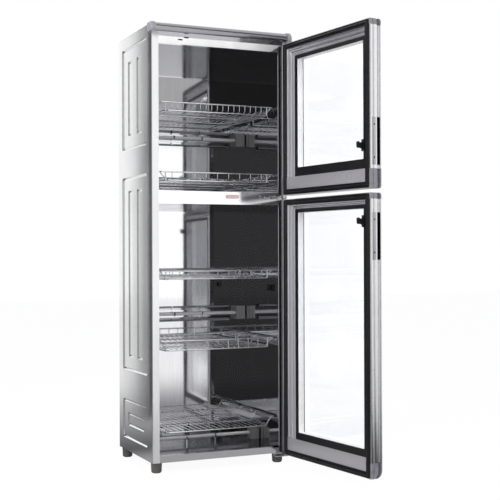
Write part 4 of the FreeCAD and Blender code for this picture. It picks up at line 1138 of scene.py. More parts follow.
def screw_tree() -> Tree:
    """A tree that puts a pan-head cross screw on every point, turned along its own direction.

    Returns:
        The tree. Its radius and its height are in metres.
    """
    tree, given = geometry_tree("pan_head_screws", (
        ("Head radius", "NodeSocketFloat", 0.0035), ("Head height", "NodeSocketFloat", 0.0014),
        ("Finish", "NodeSocketMaterial", None), ("Painted shade", "NodeSocketMaterial", None),
    ))
    radius, height = given.outputs["Head radius"], given.outputs["Head height"]
    crown, slim, deep, raised_by = (
        add_node(tree, "ShaderNodeMath", TIMES, {0: size, 1: share})
        for size, share in (
            (radius, CROWN), (radius, SLOT_WIDTH), (height, SLOT_DEPTH), (height, SLOT_MIDDLE)))
    head = add_node(tree, "GeometryNodeMeshCone", None, {
        "Vertices": HEAD_SIDES, "Radius Top": crown, "Radius Bottom": radius, "Depth": height})
    head = add_node(tree, "GeometryNodeSetMaterial", None, {
        "Geometry": head, "Material": given.outputs["Finish"]})
    raised = add_node(tree, "ShaderNodeCombineXYZ", None, {2: raised_by})
    cross = add_node(tree, "GeometryNodeJoinGeometry")
    for first, second in ((radius, slim), (slim, radius)):
        size = add_node(tree, "ShaderNodeCombineXYZ", None, {0: first, 1: second, 2: deep})
        bar = add_node(tree, "GeometryNodeMeshCube", None, {"Size": size})
        bar = add_node(tree, "GeometryNodeTransform", None, {"Geometry": bar, "Translation": raised})
        tree.links.new(bar.outputs[0], cross.inputs[0])
    # The cross is coloured near black: painted shade in the recess.
    cross = add_node(tree, "GeometryNodeSetMaterial", None, {
        "Geometry": cross, "Material": given.outputs["Painted shade"]})
    screw = add_node(tree, "GeometryNodeJoinGeometry")
    for part in (cross, head):
        tree.links.new(part.outputs[0], screw.inputs[0])
    way = add_node(tree, "GeometryNodeInputNamedAttribute", {"data_type": "FLOAT_VECTOR"}, {"Name": "way"})
    turn = add_node(tree, "FunctionNodeAlignRotationToVector", {"axis": "Z"}, {"Vector": way})
    laid = add_node(tree, "GeometryNodeInstanceOnPoints", None, {
        "Points": given.outputs["Geometry"], "Instance": screw, "Rotation": turn})
    close_tree(tree, laid)
    return tree


def scatter(
    name: str,
    spots: Sequence[tuple[Point, Point]],
    tree: Tree,
    values: dict[str, Any],
    turn: Matrix | None = None,
) -> Item:
    """Lay a tree's shape on points.

    Args:
        name: the piece's name.
        spots: each point in mm and the way its shape looks.
        tree: the tree that fills the points.
        values: the tree's inputs by name.
        turn: a move for everything, in metres.

    Returns:
        The piece.
    """
    seed = bpy.data.meshes.new(name + "_points")
    move = turn if turn is not None else Matrix.Identity(4)
    seed.from_pydata([move @ (Vector(at) * MM) for at, _ in spots], [], [])
    way = seed.attributes.new("way", "FLOAT_VECTOR", "POINT")
    for place_at, (_, look) in zip(way.data, spots):
        place_at.vector = move.to_3x3() @ Vector(look)
    source = bpy.data.objects.new(name + "_points", seed)
    bpy.context.scene.collection.objects.link(source)
    return finished(grown(source, tree, values, name), name, None, 30.0)


@dataclass(frozen=True)
class Screws:
    """A set of pan-head cross screws of one size and finish. Sizes in mm."""

    head_radius: float
    head_height: float
    finish: DrawnMetal

    def fix(
        self, shop: Workshop, name: str, spots: Sequence[tuple[Point, Point]], turn: Matrix | None = None
    ) -> Item:
        """Put the screws in.

        Args:
            shop: hands out the finishes.
            name: the piece's name.
            spots: each screw's seat in mm and the way its head looks.
            turn: a move for everything, in metres.

        Returns:
            The piece.
        """
        return scatter(name, spots, screw_tree(), {
            "Head radius": self.head_radius * MM, "Head height": self.head_height * MM,
            "Finish": shop.material(self.finish), "Painted shade": shop.material(RECESS_SHADE)}, turn)


@dataclass
class SubAssembly(ABC):
    """A part of the cabinet that makes its pieces and dresses them."""

    shop: Workshop

    @abstractmethod
    def build(self) -> None:
        """Make the pieces and dress them."""


# ---------------------------------------------------------------- casing
@dataclass(frozen=True)
class Dish:
    """A pressed rounded rectangle on a sheet, in the sheet's own two directions. Sizes in mm.

    Its wall slopes down from the outline, and a narrow groove runs along the foot of the wall.
    """

    u0: float
    u1: float
    v0: float
    v1: float
    depth: float
    radius: float
    wall: float
    groove: float = 1.5
    groove_width: float = 7.0
    groove_start: float = 0.35

    def depth_at(self, u: float, v: float) -> float:
        """How deep the dish is at a point of the sheet.

        Args:
            u: the point's place across.
            v: its height.

        Returns:
            The depth, nothing outside the outline.
        """
        half_u, half_v = (self.u1 - self.u0) / 2, (self.v1 - self.v0) / 2
        du = abs(u - (self.u0 + self.u1) / 2) - half_u + self.radius
        dv = abs(v - (self.v0 + self.v1) / 2) - half_v + self.radius
        inside = math.hypot(max(du, 0.0), max(dv, 0.0)) + min(max(du, dv), 0.0) - self.radius
        share = min(max(-inside / self.wall, 0.0), 1.0)
        along = min(max((-inside - self.groove_start * self.wall) / self.groove_width, 0.0), 1.0)
        sunk = self.depth * share * share * (3 - 2 * share)
        return sunk + self.groove * (1 - math.cos(math.tau * along)) / 2


def spaced(
    low: float, high: float, edges: Iterable[float], coarse: float, fine: float, reach: float
) -> list[float]:
    """Grid lines that crowd together near the edges of the dishes.

    Args:
        low: first line.
        high: last line.
        edges: where the dishes' edges are.
        coarse: the usual spacing.
        fine: the spacing beside an edge.
        reach: how far on each side of an edge the lines are fine.

    Returns:
        The sorted lines.
    """
    lines = {round(low, 3), round(high, 3)}
    steps = int((high - low) / coarse)
    lines.update(round(low + (high - low) * i / steps, 3) for i in range(steps + 1))
    for edge in edges:
        count = int(2 * reach / fine)
        lines.update(round(edge - reach + fine * i, 3) for i in range(count + 1))
    kept: list[float] = []
    for line in sorted(x for x in lines if low <= x <= high):
        if not kept or line - kept[-1] > fine * 0.6:
            kept.append(line)
    kept[-1] = high
    return kept


@dataclass
class SidePanel(SubAssembly):
    """One side sheet with its pressed fields, folded round its front edge. Sizes in mm."""

    side: int
    half: float = 260.0
    front: float = -193.8
    back: float = 195.0
    height: float = 1560.0
    sheet: float = 1.0
    bend: float = 5.0
    bend_steps: int = 6
    flange: float = 12.0
    # Each field's foot, its head, and how far in from it the slots or the panel start.
    fields: tuple[tuple[float, float, float], ...] = (
        (1134.1, 1516.3, 51.0), (304.2, 1031.2, 51.0), (46.0, 193.4, 49.0))
    field_y: tuple[float, float] = (-137.0, 148.0)
    tall_field: float = 200.0
    slot_width: float = 58.0
    slot_gap: float = 44.0
    # Depth, corner radius and width of the sloping wall.
    field_press: tuple[float, float, float] = (3.6, 12.0, 5.0)
    slot_press: tuple[float, float, float] = (2.8, 9.0, 4.5)
    grid_inset: float = 4.0
    grid_reach: float = 7.0
    grid_across: tuple[float, float] = (30.0, 1.0)
    grid_up: tuple[float, float] = (45.0, 1.3)

    def dishes(self) -> list[Dish]:
        """The three fields, the two tall slots in each of the upper ones and the panel in the lowest.

        Returns:
            All that is pressed into the sheet.
        """
        y0, y1 = self.field_y
        middle, offset = (y0 + y1) / 2, (self.slot_gap + self.slot_width) / 2
        found = []
        for low, high, inset in self.fields:
            found.append(Dish(y0, y1, low, high, *self.field_press))
            spots = [(middle - offset, self.slot_width / 2), (middle + offset, self.slot_width / 2)]
            if high - low < self.tall_field:
                spots = [(middle, (y1 - y0) / 2 - inset)]
            for centre, half in spots:
                found.append(Dish(centre - half, centre + half, low + inset, high - inset, *self.slot_press))
        return found

    def build(self) -> None:
        """Press the sheet and dress it."""
        dishes = self.dishes()
        inset = self.grid_inset
        edges_across = [edge for d in dishes for edge in (d.u0 + inset, d.u1 - inset)]
        edges_up = [edge for d in dishes for edge in (d.v0 + inset, d.v1 - inset)]
        across = spaced(self.front + self.bend, self.back, edges_across, *self.grid_across, self.grid_reach)
        up = spaced(0.0, self.height, edges_up, *self.grid_up, self.grid_reach)
        maker = MeshMaker()
        maker.loft([self.section(across, z, dishes) for z in up])
        name = "left_side_panel" if self.side < 0 else "right_side_panel"
        item = maker.finish(name.replace("panel", "sheet"), self.shop.material(SIDE_SHEET), None, 50.0)
        hand_over(item, "cabinet", "brushed_sheet", name)

    def section(self, across: Sequence[float], z: float, dishes: Sequence[Dish]) -> list[Point]:
        """The sheet's closed outline at one height.

        Args:
            across: the grid lines from front to back.
            z: the height.
            dishes: what is pressed into the sheet.

        Returns:
            The outer face from the back edge round the bend to the flange, then the inner face back.
        """
        r, t = self.bend, self.sheet
        outer: list[tuple[float, float]] = []
        inner: list[tuple[float, float]] = []
        for y in reversed(across):
            sunk = sum(dish.depth_at(y, z) for dish in dishes)
            outer.append((self.half - sunk, y))
            inner.append((self.half - sunk - t, y))
        cx, cy = self.half - r, self.front + r
        outer += arc(cx, cy, r, 0.0, -90.0, self.bend_steps)[1:]
        inner += arc(cx, cy, r - t, 0.0, -90.0, self.bend_steps)[1:]
        tip = self.half - self.flange
        outer.append((tip, self.front))
        inner.append((tip, self.front + t))
        return [(self.side * x, y, z) for x, y in outer + inner[::-1]]


@dataclass
class Heaters(SubAssembly):
    """The resistance wire that hangs in each quartz tube. Sizes in mm."""

    start: float = -214.0
    seats: tuple[tuple[float, float], ...] = ((130.0, 1193.0), (130.0, 508.0), (0.0, 50.0))
    coil_radius: float = 2.4
    wire_radius: float = 0.55
    length: float = 428.0
    turns: float = 107.0

    def build(self) -> None:
        """Wind the coils and dress them."""
        spots = [((self.start, y, z), (1.0, 0.0, 0.0)) for y, z in self.seats]
        coils = scatter("heater_windings", spots, coil_tree(), {
            "Coil radius": self.coil_radius * MM, "Wire radius": self.wire_radius * MM,
            "Length": self.length * MM, "Turns": self.turns, "Finish": self.shop.material(COIL_WIRE)})
        hand_over(coils, "cabinet", "coil", "heater_coils")


@dataclass
class CasingScrews(SubAssembly):
    """The screws of the middle hinge bracket and of the back sheet. Sizes in mm."""

    kind: Screws = Screws(3.4, 1.4, SCREW_ZINC)
    bracket_steps: tuple[float, ...] = (8.0, 28.0, 48.0)
    bracket_y: float = -197.4
    back_across: tuple[float, ...] = (-225.0, -75.0, 75.0, 225.0)
    back_up: tuple[float, ...] = (30.0, 1530.0)
    back_y: float = 195.6

    def build(self) -> None:
        """Drive the screws."""
        low, high = frame_box("middle_hinge_bracket")
        middle = (low[2] + high[2]) / 2
        spots = [((low[0] + step, self.bracket_y, middle), (0.0, -1.0, 0.0)) for step in self.bracket_steps]
        spots += [((x, self.back_y, z), (0.0, 1.0, 0.0)) for x in self.back_across for z in self.back_up]
        hand_over(self.kind.fix(self.shop, "casing_screws", spots), "cabinet", "hinge_steel")


def frame_box(node: str) -> tuple[Point, Point]:
    """A node's box in mm.

    Args:
        node: the construction node.

    Returns:
        The low corner and the high corner.
    """
    low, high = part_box(node)
    return tuple(c / MM for c in low), tuple(c / MM for c in high)


# ---------------------------------------------------------------- racks
class Front(Enum):
    """How a rack's floor wires end at the front."""

    TURNED_UP = "the wires turn up to the rim"
    OPEN = "the wires stop at the low front bar"


@dataclass
class Rack(SubAssembly):
    """One welded wire rack that slides on its side wires. Sizes in mm, wires by their radius."""

    name: str
    floor: float
    rim: float
    front_style: Front = Front.TURNED_UP
    # The spacing of the front struts, which a rack that is open at the front doesn't have.
    strut_pitch: float = 22.0
    half: float = 202.0
    hanger: float = 229.0
    side: float = 198.0
    elbow: float = 220.0
    front: float = -170.0
    back: float = 125.0
    rim_wire: float = 2.5
    floor_wire: float = 1.5
    arm_wire: float = 2.0
    rim_bend: float = 14.0
    arm_bend: float = 5.0
    floor_bend: float = 11.0
    strut_bend: float = 3.0
    post_inset: float = 2.0
    wire_end: float = 1.5
    weld_sink: float = 0.6
    strut_end: float = 1.0
    floor_pitch: float = 22.0
    floor_count: int = 8
    wire_sides: int = 8
    bend_steps: int = 4

    def build(self) -> None:
        """Bend and lay all the wires, as one piece for the frame and one for the grid."""
        frame_wires = [
            (self.rim_wire, self.rim_bend, self.rim_routes()),
            (self.arm_wire, self.arm_bend, self.arm_routes())]
        grid_wires = [(self.floor_wire, self.floor_bend, self.floor_routes())]
        if self.front_style is Front.TURNED_UP:
            grid_wires.append((self.floor_wire, self.strut_bend, self.strut_routes()))
        for part, groups in (("frame", frame_wires), ("grid", grid_wires)):
            item = self.weld(f"{self.name}_{part}_wires", groups)
            hand_over(item, self.name, "chrome_wire", f"{self.name}_{part}")

    def loop(self, half: float, z: float) -> Route:
        """The route of a closed wire round the rack, by half its width and its height."""
        front, back = self.front, self.back
        return [(-half, front, z), (half, front, z), (half, back, z), (-half, back, z)], True

    def rim_routes(self) -> list[Route]:
        """The heavy wires: the sliding rim, the floor loop, the side wires and the end posts.

        Returns:
            Their routes.
        """
        h = self.half
        middle = (self.front + self.back) / 2
        routes = [self.loop(h, self.floor), ([(-h, middle, self.floor), (h, middle, self.floor)], False)]
        if self.front_style is Front.TURNED_UP:
            routes.append(self.loop(self.hanger, self.rim))
            for x in (-h + self.post_inset, h - self.post_inset):
                routes += [([(x, y, self.floor), (x, y, self.rim)], False) for y in (self.front, self.back)]
        else:
            for x in (-self.hanger, self.hanger):
                routes.append(([(x, self.front, self.rim), (x, self.back, self.rim)], False))
        over = self.floor + 2 * self.rim_wire
        for x in (-self.side, self.side):
            routes.append(([(x, self.front, over), (x, self.back, over)], False))
        return routes

    def arm_routes(self) -> list[Route]:
        """The bent arms that hang the floor from the sliding wires.

        Returns:
            Their routes.
        """
        low = self.floor + 2 * self.rim_wire
        margin = 2 * self.rim_wire + self.arm_wire
        routes: list[Route] = []
        for y in (self.front + margin, (self.front + self.back) / 2, self.back - margin):
            for way in (-1, 1):
                routes.append(([(way * self.side, y, low), (way * self.elbow, y, self.rim),
                                (way * self.hanger, y, self.rim)], False))
        return routes

    def front_face(self) -> float:
        """How far forward the struts stand, sunk a little into the rim where they are welded to it."""
        return self.front - self.rim_wire - self.floor_wire + self.weld_sink

    def floor_routes(self) -> list[Route]:
        """The thin floor wires, front to back, some of them turned up at the front.

        Returns:
            Their routes.
        """
        z = self.floor + self.rim_wire + self.floor_wire
        face, end = self.front_face(), self.back + self.wire_end
        routes: list[Route] = []
        for i in range(-self.floor_count, self.floor_count + 1):
            x = i * self.floor_pitch
            points = [(x, end, z), (x, self.front - self.wire_end, z)]
            if self.front_style is Front.TURNED_UP and self.meets_strut(x):
                points = [(x, end, z), (x, face, z), (x, face, self.rim + self.strut_end)]
            routes.append((points, False))
        return routes

    def strut_steps(self) -> int:
        """How many struts stand on each side of the middle one."""
        return int((self.half - self.strut_pitch / 2) / self.strut_pitch)

    def strut_routes(self) -> list[Route]:
        """The front struts that don't go on into a floor wire.

        Returns:
            Their routes.
        """
        face, steps = self.front_face(), self.strut_steps()
        spots = [i * self.strut_pitch for i in range(-steps, steps + 1)]
        return [([(x, face, self.floor - self.strut_end), (x, face, self.rim + self.strut_end)], False)
                for x in spots if not on_pitch(x, self.floor_pitch, self.floor_count)]

    def meets_strut(self, x: float) -> bool:
        """Whether a strut stands at a place across the rack."""
        return on_pitch(x, self.strut_pitch, self.strut_steps())

    def weld(self, name: str, groups: Sequence[tuple[float, float, list[Route]]]) -> Item:
        """Sweep each group of routes and join the wires into one piece.

        Args:
            name: the piece's name.
            groups: each with its wire radius, its bend radius and its routes.

        Returns:
            The piece.
        """
        chrome, tree = self.shop.material(CHROME_WIRE), wire_tree()
        whole = bmesh.new()
        for radius, bend, routes in groups:
            curve = bpy.data.curves.new(name, "CURVE")
            curve.dimensions = "3D"
            for points, closed in routes:
                spline = curve.splines.new("POLY")
                spline.points.add(len(points) - 1)
                for knot, (x, y, z) in zip(spline.points, points):
                    knot.co = (x * MM, y * MM, z * MM, 1.0)
                spline.use_cyclic_u = closed
            source = bpy.data.objects.new(name + "_route", curve)
            bpy.context.scene.collection.objects.link(source)
            whole.from_mesh(grown(source, tree, {
                "Wire radius": radius * MM, "Bend radius": bend * MM, "Sides": self.wire_sides,
                "Bend steps": self.bend_steps, "Finish": chrome}, name))
        mesh = bpy.data.meshes.new(name)
        whole.to_mesh(mesh)
        whole.free()
        return finished(mesh, name, chrome, 50.0)


def on_pitch(x: float, pitch: float, count: int) -> bool:
    """Whether a place is one of the evenly spaced ones on both sides of the middle.

    Args:
        x: the place.
        pitch: their spacing.
        count: how many there are on each side.

    Returns:
        True where it is.
    """
    share = x / pitch
    return abs(share - round(share)) < 0.01 and abs(round(share)) <= count


# ---------------------------------------------------------------- doors
@dataclass(frozen=True)
class Swing:
    """The door hinge, and how far open the doors stand. Sizes in mm."""

    x: float = 258.0
    y: float = -207.0
    open_deg: float = 97.0

    def matrix(self) -> Matrix:
        """Where the leaf goes when it opens.

        Returns:
            The move from a closed door to the open one, in metres.
        """
        pin = Vector((self.x * MM, self.y * MM, 0.0))
        turn = Matrix.Rotation(math.radians(self.open_deg), 4, "Z")
        return Matrix.Translation(pin) @ turn @ Matrix.Translation(-pin)


@dataclass
class DoorLeaf(SubAssembly):
    """One glazed door: aluminium profiles, seal, bead, pane and fittings. Sizes in mm, door closed.

    Its free side is at -X and its inner face looks along +Y, into the cabinet.
    """

    name: str
    low: float
    high: float
    bottom_rail: float
    top_rail: float
    cap_low: float
    pocket: tuple[float, float]
    hook_z: float
    round_low: float
    bead_low: float
    cap_high: float = 20.0
    round_high: float = 10.0
    edge: float = 264.0
    inner: float = -201.5
    outer: float = -239.5
    stile: float = 80.0
    handle: float = 26.0
    handle_front: float = -251.5
    bead: float = 11.0
    lip: float = 2.5
    joint: float = 0.1
    swing: Swing = field(default_factory=Swing)
    # The seal: its tip, its section as places across it with shares of its height, and its outer corners.
    seal_face: float = -195.5
    seal_inset: float = 5.0
    seal_round: float = 8.0
    seal_section: tuple[Flat, ...] = (
        (0.0, 0.0), (0.0, 0.32), (0.7, 0.56), (2.2, 0.60), (3.6, 0.42), (4.6, 0.34), (5.6, 0.52), (6.6, 0.84),
        (8.2, 0.98), (10.0, 1.0), (12.0, 0.97), (13.6, 0.80), (14.6, 0.50), (15.6, 0.34), (16.6, 0.44),
        (18.0, 0.56), (19.4, 0.50), (20.0, 0.28), (20.0, 0.0))
    # The hinge-side bar: three ribs with rounded edges, between them two grooves.
    ribs: tuple[Flat, ...] = ((26.0, 34.5), (40.5, 57.5), (63.5, 78.5))
    rib_steps: int = 8
    rib_round: float = 2.6
    groove_edges: tuple[float, ...] = (35.6, 39.4, 58.6, 62.4)
    groove_depth: float = 5.6
    mitre_gap: float = 0.12
    # The free-side bar: its finger channel, and how deep it is along the bar, at the pocket, in the caps.
    channel: tuple[float, float] = (-230.5, -243.5)
    channel_shallow: float = 8.0
    channel_deep: float = 20.0
    channel_caps: float = 12.0
    edge_groove: float = 2.6
    cap_steps: int = 8
    cap_edge: float = 1.6
    cap_gap: float = 0.15
    # The latch hook: its foot's half width, thickness and half height, its arm from the side as (distance
    # from the inner face, height, rounding) from the lower root round the nib, and the arm's slices across.
    hook_x: float = -227.0
    hook_foot: tuple[float, float, float] = (7.0, 3.5, 20.0)
    hook_arm: tuple[tuple[float, ...], ...] = (
        (3.4, -14.0), (9.0, -10.0, 3.0), (25.0, -9.0, 2.0), (26.5, 11.0, 1.5), (20.5, 12.5, 1.5),
        (18.5, 8.5, 1.5), (3.4, 9.5))
    hook_slices: tuple[Flat, ...] = (
        (-5.0, 0.7), (-4.4, 0.2), (-3.6, 0.0), (3.6, 0.0), (4.4, 0.2), (5.0, 0.7))
    hook_root: float = 3.3
    # The insert beside the finger pocket, from the channel's near side, and a black sheet in the pocket that
    # is painted shade.
    insert_reach: tuple[float, float] = (6.0, 19.0)
    insert_out: float = 1.6
    insert_in: float = 0.4
    insert_screws: Screws = Screws(3.0, 1.0, SCREW_BLACK)
    insert_screw_end: float = 24.0
    shade_sheet_reach: tuple[float, float] = (0.7, 19.6)
    shade_sheet_out: float = 0.8
    shade_sheet_wall: float = 0.7
    shade_sheet_end: float = 0.3
    shade_sheet_joint: float = 0.02
    # Where the two panes' inner faces lie, and the bars between them.
    spacer_y: tuple[float, float] = (-232.0, -209.3)
    spacer_bar: float = 1.0
    corner_screws: Screws = Screws(2.4, 0.8, SCREW_BLACK)
    corner_screws_across: tuple[float, float] = (30.3, 49.0)

    def build(self) -> None:
        """Make the leaf's pieces and dress them."""
        self.build_seal()
        self.build_hinge_bar()
        self.build_rails()
        self.build_handle_bar()
        self.build_caps()
        self.build_hook()
        self.build_insert()
        self.build_shade_sheet()
        self.build_spacer()
        self.build_corner_screws()

    def hang(
        self, maker: MeshMaker, part: str, finish: Any, slot: str, *nodes: str, crease_deg: float = 32.0
    ) -> None:
        """Finish one piece, swing it open with the leaf and hand it over.

        Args:
            maker: the piece's rings and faces, on the closed door.
            part: its name on the door.
            finish: its finish.
            slot: its material slot.
            nodes: the door's construction nodes that it replaces, by their names on the door.
            crease_deg: edges that turn more than this stay crisp.
        """
        dress, turn = self.shop.material(finish), self.swing.matrix()
        item = maker.finish(f"{self.name}_{part}", dress, turn, crease_deg)
        hand_over(item, self.name, slot, *(f"{self.name}_{node}" for node in nodes))

    def build_seal(self) -> None:
        """The extruded seal: two lips beside a taller bulb, round at the corners."""
        tall = self.seal_face - self.inner
        x = self.edge - self.seal_inset
        z0, z1 = self.low + self.seal_inset / 2, self.high - self.seal_inset / 2
        rings = []
        for across, share in self.seal_section:
            x1, low, high = x - across, z0 + across, z1 - across
            corners = [(-x + across, low), (x1, low), (x1, high), (-x + across, high)]
            loop = softened(corners, max(self.seal_round - across, 0.02), 4)
            rings.append([(u, self.inner + tall * share, v) for u, v in loop])
        maker = MeshMaker()
        maker.loft(rings, round_trip=True)
        self.hang(maker, "seal", SEAL_PVC, "seal_rubber", "gasket", crease_deg=60.0)

    def profile(self) -> list[Flat]:
        """The hinge-side bar's section, with its ribs, its grooves and the lip that holds the pane.

        Returns:
            The outline as (distance in from the door's edge, y).
        """
        y, front, far = self.inner, self.outer, self.stile + self.bead
        face: list[Flat] = [(0.0, y - 0.6), (0.6, y)]
        for start, end in self.ribs:
            for k in range(self.rib_steps + 1):
                t = k / self.rib_steps
                face.append((start + (end - start) * t, y - self.rib_round * abs(2 * t - 1) ** 3))
        face = sorted(face + [(across, y - self.groove_depth) for across in self.groove_edges])
        return face + [
            (self.stile - 0.6, y - 2.8), (self.stile, y - 4.0), (self.stile, front + self.lip),
            (far, front + self.lip), (far, front + 0.4), (far - 0.4, front), (0.8, front), (0.0, front + 0.8)]

    def rail_height(self, across: float) -> float:
        """Where a point of the upright bar's section comes on the top rail, which is less wide.

        Args:
            across: the point's distance in from the door's edge.

        Returns:
            Its height.
        """
        if across <= self.stile:
            return self.high - across * self.top_rail / self.stile
        return self.high - (self.top_rail + across - self.stile)

    def build_hinge_bar(self) -> None:
        """The grooved bar on the hinge side, from the bottom plate up to the top corner's mitre."""
        section = self.profile()
        foot = self.low + self.bottom_rail + self.cap_gap
        maker = MeshMaker()
        maker.loft([
            [(self.edge - across, y, foot) for across, y in section],
            [(self.edge - across, y, self.rail_height(across) - self.mitre_gap) for across, y in section],
        ])
        self.hang(maker, "hinge_bar", DOOR_PROFILE, "door_aluminium", "hinge_stile")

    def build_rails(self) -> None:
        """The mitred top rail and the flat plate along the bottom."""
        section = self.profile()
        stop = -self.edge + self.handle + self.joint
        maker = MeshMaker()
        maker.loft([
            [(stop, y, self.rail_height(across)) for across, y in section],
            [(self.edge - across - self.mitre_gap, y, self.rail_height(across)) for across, y in section],
        ])
        # The top rail takes a darker copy of the alloy: painted shade.
        self.hang(maker, "top_rail", UPPER_RAIL_SHADE_COPY, "door_aluminium")
        z0, z1 = self.low, self.low + self.bottom_rail
        back, front = self.inner, self.outer
        plate = softened([
            (back, z0), (back, z1), (back - 3.0, z1, 1.0), (back - 3.0, z1 + self.joint, 0.0),
            (front + self.lip, z1 + self.joint, 0.0), (front + self.lip, z1 + self.bead, 0.3),
            (front, z1 + self.bead, 0.3), (front, z0),
        ], 0.9, 3)
        maker = MeshMaker()
        maker.loft([[(x, y, z) for y, z in plate] for x in (stop, self.edge)])
        # The plate takes a darker copy of the alloy: painted shade.
        self.hang(maker, "bottom_plate", FOOT_PLATE_SHADE_COPY, "door_panel", "rails")

    def bar_section(self, channel_depth: float) -> list[Flat]:
        """The free-side bar's section, with its edge groove, finger channel and front lip.

        Args:
            channel_depth: how deep the finger channel is here.

        Returns:
            The rounded outline as (x, y).
        """
        e, right, y = -self.edge, -self.edge + self.handle, self.inner
        near, far = self.channel
        front, lip = self.handle_front, self.outer + self.lip
        floor, groove = e + channel_depth, e + self.edge_groove
        # Each corner has its place and its own rounding: inner face, edge groove, channel, front, pane's lip.
        return softened([
            (right, y, 0.3), (e, y, 1.4),
            (e, y - 10.4, 0.8), (groove, y - 11.8, 0.4), (groove, y - 13.0, 0.4), (e, y - 14.6, 0.8),
            (e, near + 0.2, 1.2), (floor, near - 0.6, 1.6), (floor, far + 0.6, 2.4), (e, far - 0.2, 1.4),
            (e, front + 3.6, 3.0), (e + 4.2, front, 3.0), (right - 5.5, front, 1.5), (right, self.outer, 1.0),
            (right + self.bead, self.outer, 0.3), (right + self.bead, lip, 0.3), (right, lip, 0.2),
        ], 0.5, 4)

    def build_handle_bar(self) -> None:
        """The bar on the free side: shallow channel all along, deep where fingers reach in."""
        low, high = self.low + self.cap_low + self.cap_gap, self.high - self.cap_high - self.cap_gap
        steps = (low, *self.pocket, high)
        depths = (self.channel_shallow, self.channel_deep, self.channel_shallow)
        maker = MeshMaker()
        for z0, z1, depth in zip(steps, steps[1:], depths):
            section = self.bar_section(depth)
            maker.loft([[(x, y, z) for x, y in section] for z in (z0 + 0.01, z1 - 0.01)])
        self.hang(maker, "handle_bar", HANDLE_PROFILE, "door_aluminium", "handle_stile")

    def cap_rings(self, z_end: float, z_seam: float, radius: float) -> list[list[Point]]:
        """The rings of one end cap, rounded towards the door's outer face at its end.

        Args:
            z_end: the cap's outer end.
            z_seam: where it meets the bar.
            radius: the rounding of the outer corner.

        Returns:
            The rings from the end to the seam.
        """
        e, far, y = -self.edge, -self.edge + self.handle + self.bead, self.inner
        way = 1.0 if z_seam > z_end else -1.0
        section = self.bar_section(self.channel_caps)
        rings = []
        for k in range(self.cap_steps + 1):
            angle = math.radians(90.0 * k / self.cap_steps)
            rise, cut = radius * (1 - math.cos(angle)), radius * (1 - math.sin(angle))
            inset = self.cap_edge * (1 - math.sin(angle))
            share, z = 1.0 - cut / (y - self.handle_front), z_end + way * rise
            rings.append([(min(max(x, e + inset), far - inset), y - inset * 0.5 + (v - y) * share, z)
                          for x, v in section])
        rings.append([(x, v, z_seam) for x, v in section])
        return rings

    def build_caps(self) -> None:
        """The two moulded ends of the free-side bar."""
        maker = MeshMaker()
        maker.loft(self.cap_rings(self.low, self.low + self.cap_low, self.round_low))
        maker.loft(self.cap_rings(self.high, self.high - self.cap_high, self.round_high))
        self.hang(maker, "cap_pair", CAP_ABS, "silver_plastic", "end_caps")

    def build_hook(self) -> None:
        """The moulded latch hook: a flat foot, a stout arm and a nib that snaps past its catch."""
        x, z, y = self.hook_x, self.hook_z, self.inner
        maker = MeshMaker()
        wide, thick, tall = self.hook_foot
        maker.soft_block((x - wide, y, z - tall), (x + wide, y + thick, z + tall), 1.2)
        arm = softened([(y + out, z + up, *rounding) for out, up, *rounding in self.hook_arm], 0.8, 4)
        root = y + self.hook_root
        rings = []
        for offset, shrink in self.hook_slices:
            less = shrink * 0.5
            rings.append([(x + offset, max(u - less, root), v - math.copysign(less, v - z)) for u, v in arm])
        maker.loft(rings)
        self.hang(maker, "latch", BLACK_ABS, "black_plastic", "latch_hook")

    def build_insert(self) -> None:
        """The plate beside the finger pocket, with its two screws."""
        z0, z1 = self.pocket
        near, (start, end) = self.channel[0], self.insert_reach
        out, back = -self.edge - self.insert_out, -self.edge + self.insert_in
        maker = MeshMaker()
        maker.soft_block((out, near + start, z0), (back, near + end, z1), 0.5)
        self.hang(maker, "insert_plate", INSERT_PLATE, "door_aluminium", "handle_insert")
        y, inset = near + (start + end) / 2, self.insert_screw_end
        spots = [((out + 0.1, y, z), (-1.0, 0.0, 0.0)) for z in (z0 + inset, z1 - inset)]
        screws = self.insert_screws.fix(self.shop, f"{self.name}_insert_screws", spots, self.swing.matrix())
        hand_over(screws, self.name, "door_aluminium")

    def build_shade_sheet(self) -> None:
        """A black sheet in the finger pocket as painted shade: three walls and two ends."""
        z0, z1 = self.pocket
        near, far = self.channel
        x0, x1 = (-self.edge + reach for reach in self.shade_sheet_reach)
        y0, y1, wall = near - self.shade_sheet_out, far + self.shade_sheet_out, self.shade_sheet_wall
        shade_sheet = [(x0, y0), (x1, y0), (x1, y1), (x0, y1), (x0, y1 + wall), (x1 - wall, y1 + wall),
                  (x1 - wall, y0 - wall), (x0, y0 - wall)]
        maker = MeshMaker()
        low, high, gap = z0 + self.shade_sheet_end, z1 - self.shade_sheet_end, wall + self.shade_sheet_joint
        maker.loft([[(x, v, z) for x, v in shade_sheet] for z in (low, (z0 + z1) / 2, high)])
        for z in (low, high - wall):
            maker.soft_block((x0, y1 + gap, z), (x1 - gap, y0 - gap, z + wall), 0.2)
        self.hang(maker, "pocket_shade_sheet", BLACK_ABS, "black_plastic")

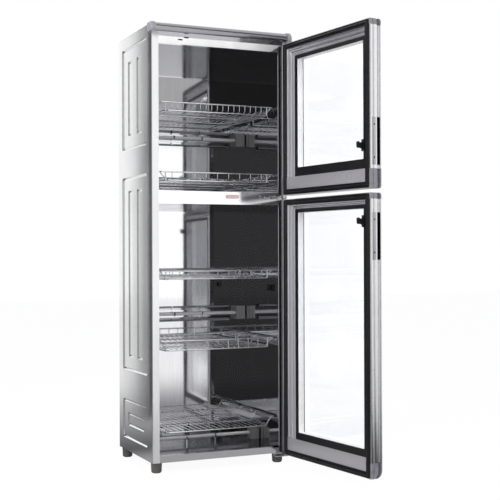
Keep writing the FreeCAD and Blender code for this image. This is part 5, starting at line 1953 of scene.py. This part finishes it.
    def build_spacer(self) -> None:
        """The four bars between the two panes, against the bead."""
        x0 = -self.edge + self.handle + self.bead + self.joint
        x1 = self.edge - self.stile - self.bead - self.joint
        z0 = self.low + self.bottom_rail + self.bead_low + self.joint
        z1 = self.high - self.top_rail - self.bead - self.joint
        (y0, y1), bar, gap = self.spacer_y, self.spacer_bar, self.joint / 2
        maker = MeshMaker()
        for low, high in (
            ((x0, y0, z0), (x0 + bar, y1, z1)), ((x1 - bar, y0, z0), (x1, y1, z1)),
            ((x0 + bar + gap, y0, z0), (x1 - bar - gap, y1, z0 + bar)),
            ((x0 + bar + gap, y0, z1 - bar), (x1 - bar - gap, y1, z1)),
        ):
            maker.soft_block(low, high, 0.25)
        self.hang(maker, "spacer", SPACER_BAR, "door_aluminium")

    def build_corner_screws(self) -> None:
        """Two small screws on the ribs of the mitred corner, which pull the bars onto their key."""
        spots = [((self.edge - across, self.inner - 0.1, self.rail_height(across)), (0.0, 1.0, 0.0))
                 for across in self.corner_screws_across]
        screws = self.corner_screws.fix(self.shop, f"{self.name}_corner_screws", spots, self.swing.matrix())
        hand_over(screws, self.name, "door_aluminium")


# ---------------------------------------------------------------- run
def main() -> None:
    """Build the studio, dress every node and add the finer pieces."""
    Studio().build()
    shop = Workshop()
    for name, finish in Dressing().by_node().items():
        shop.dress(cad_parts[name], finish)
    for name in ("upper_door_glass", "lower_door_glass", "quartz_tubes"):
        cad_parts[name].visible_shadow = False
    for part in (
        SidePanel(shop, side=-1),
        SidePanel(shop, side=1),
        Heaters(shop),
        CasingScrews(shop),
        Rack(shop, "glass_rack", floor=1256.4, rim=1286.4, strut_pitch=22.0),
        Rack(shop, "upper_plate_rack", floor=1006.0, rim=1036.0, strut_pitch=44.0),
        Rack(shop, "lower_plate_rack", floor=651.1, rim=679.1, strut_pitch=44.0),
        Rack(shop, "bowl_rack", floor=395.0, rim=428.0, strut_pitch=40.0),
        Rack(shop, "bottom_rack", floor=101.0, rim=134.0, front_style=Front.OPEN),
        DoorLeaf(
            shop, "upper_door", low=956.52, high=1519.5, bottom_rail=67.0, top_rail=56.0, cap_low=66.0,
            pocket=(1035.0, 1193.0), hook_z=1101.0, round_low=10.0, bead_low=32.0),
        DoorLeaf(
            shop, "lower_door", low=-6.0, high=942.52, bottom_rail=69.0, top_rail=40.0, cap_low=52.0,
            pocket=(719.5, 877.5), hook_z=848.0, round_low=26.0, bead_low=25.0),
    ):
        part.build()
    bpy.context.view_layer.update()


if __name__ == "__main__":
    main()
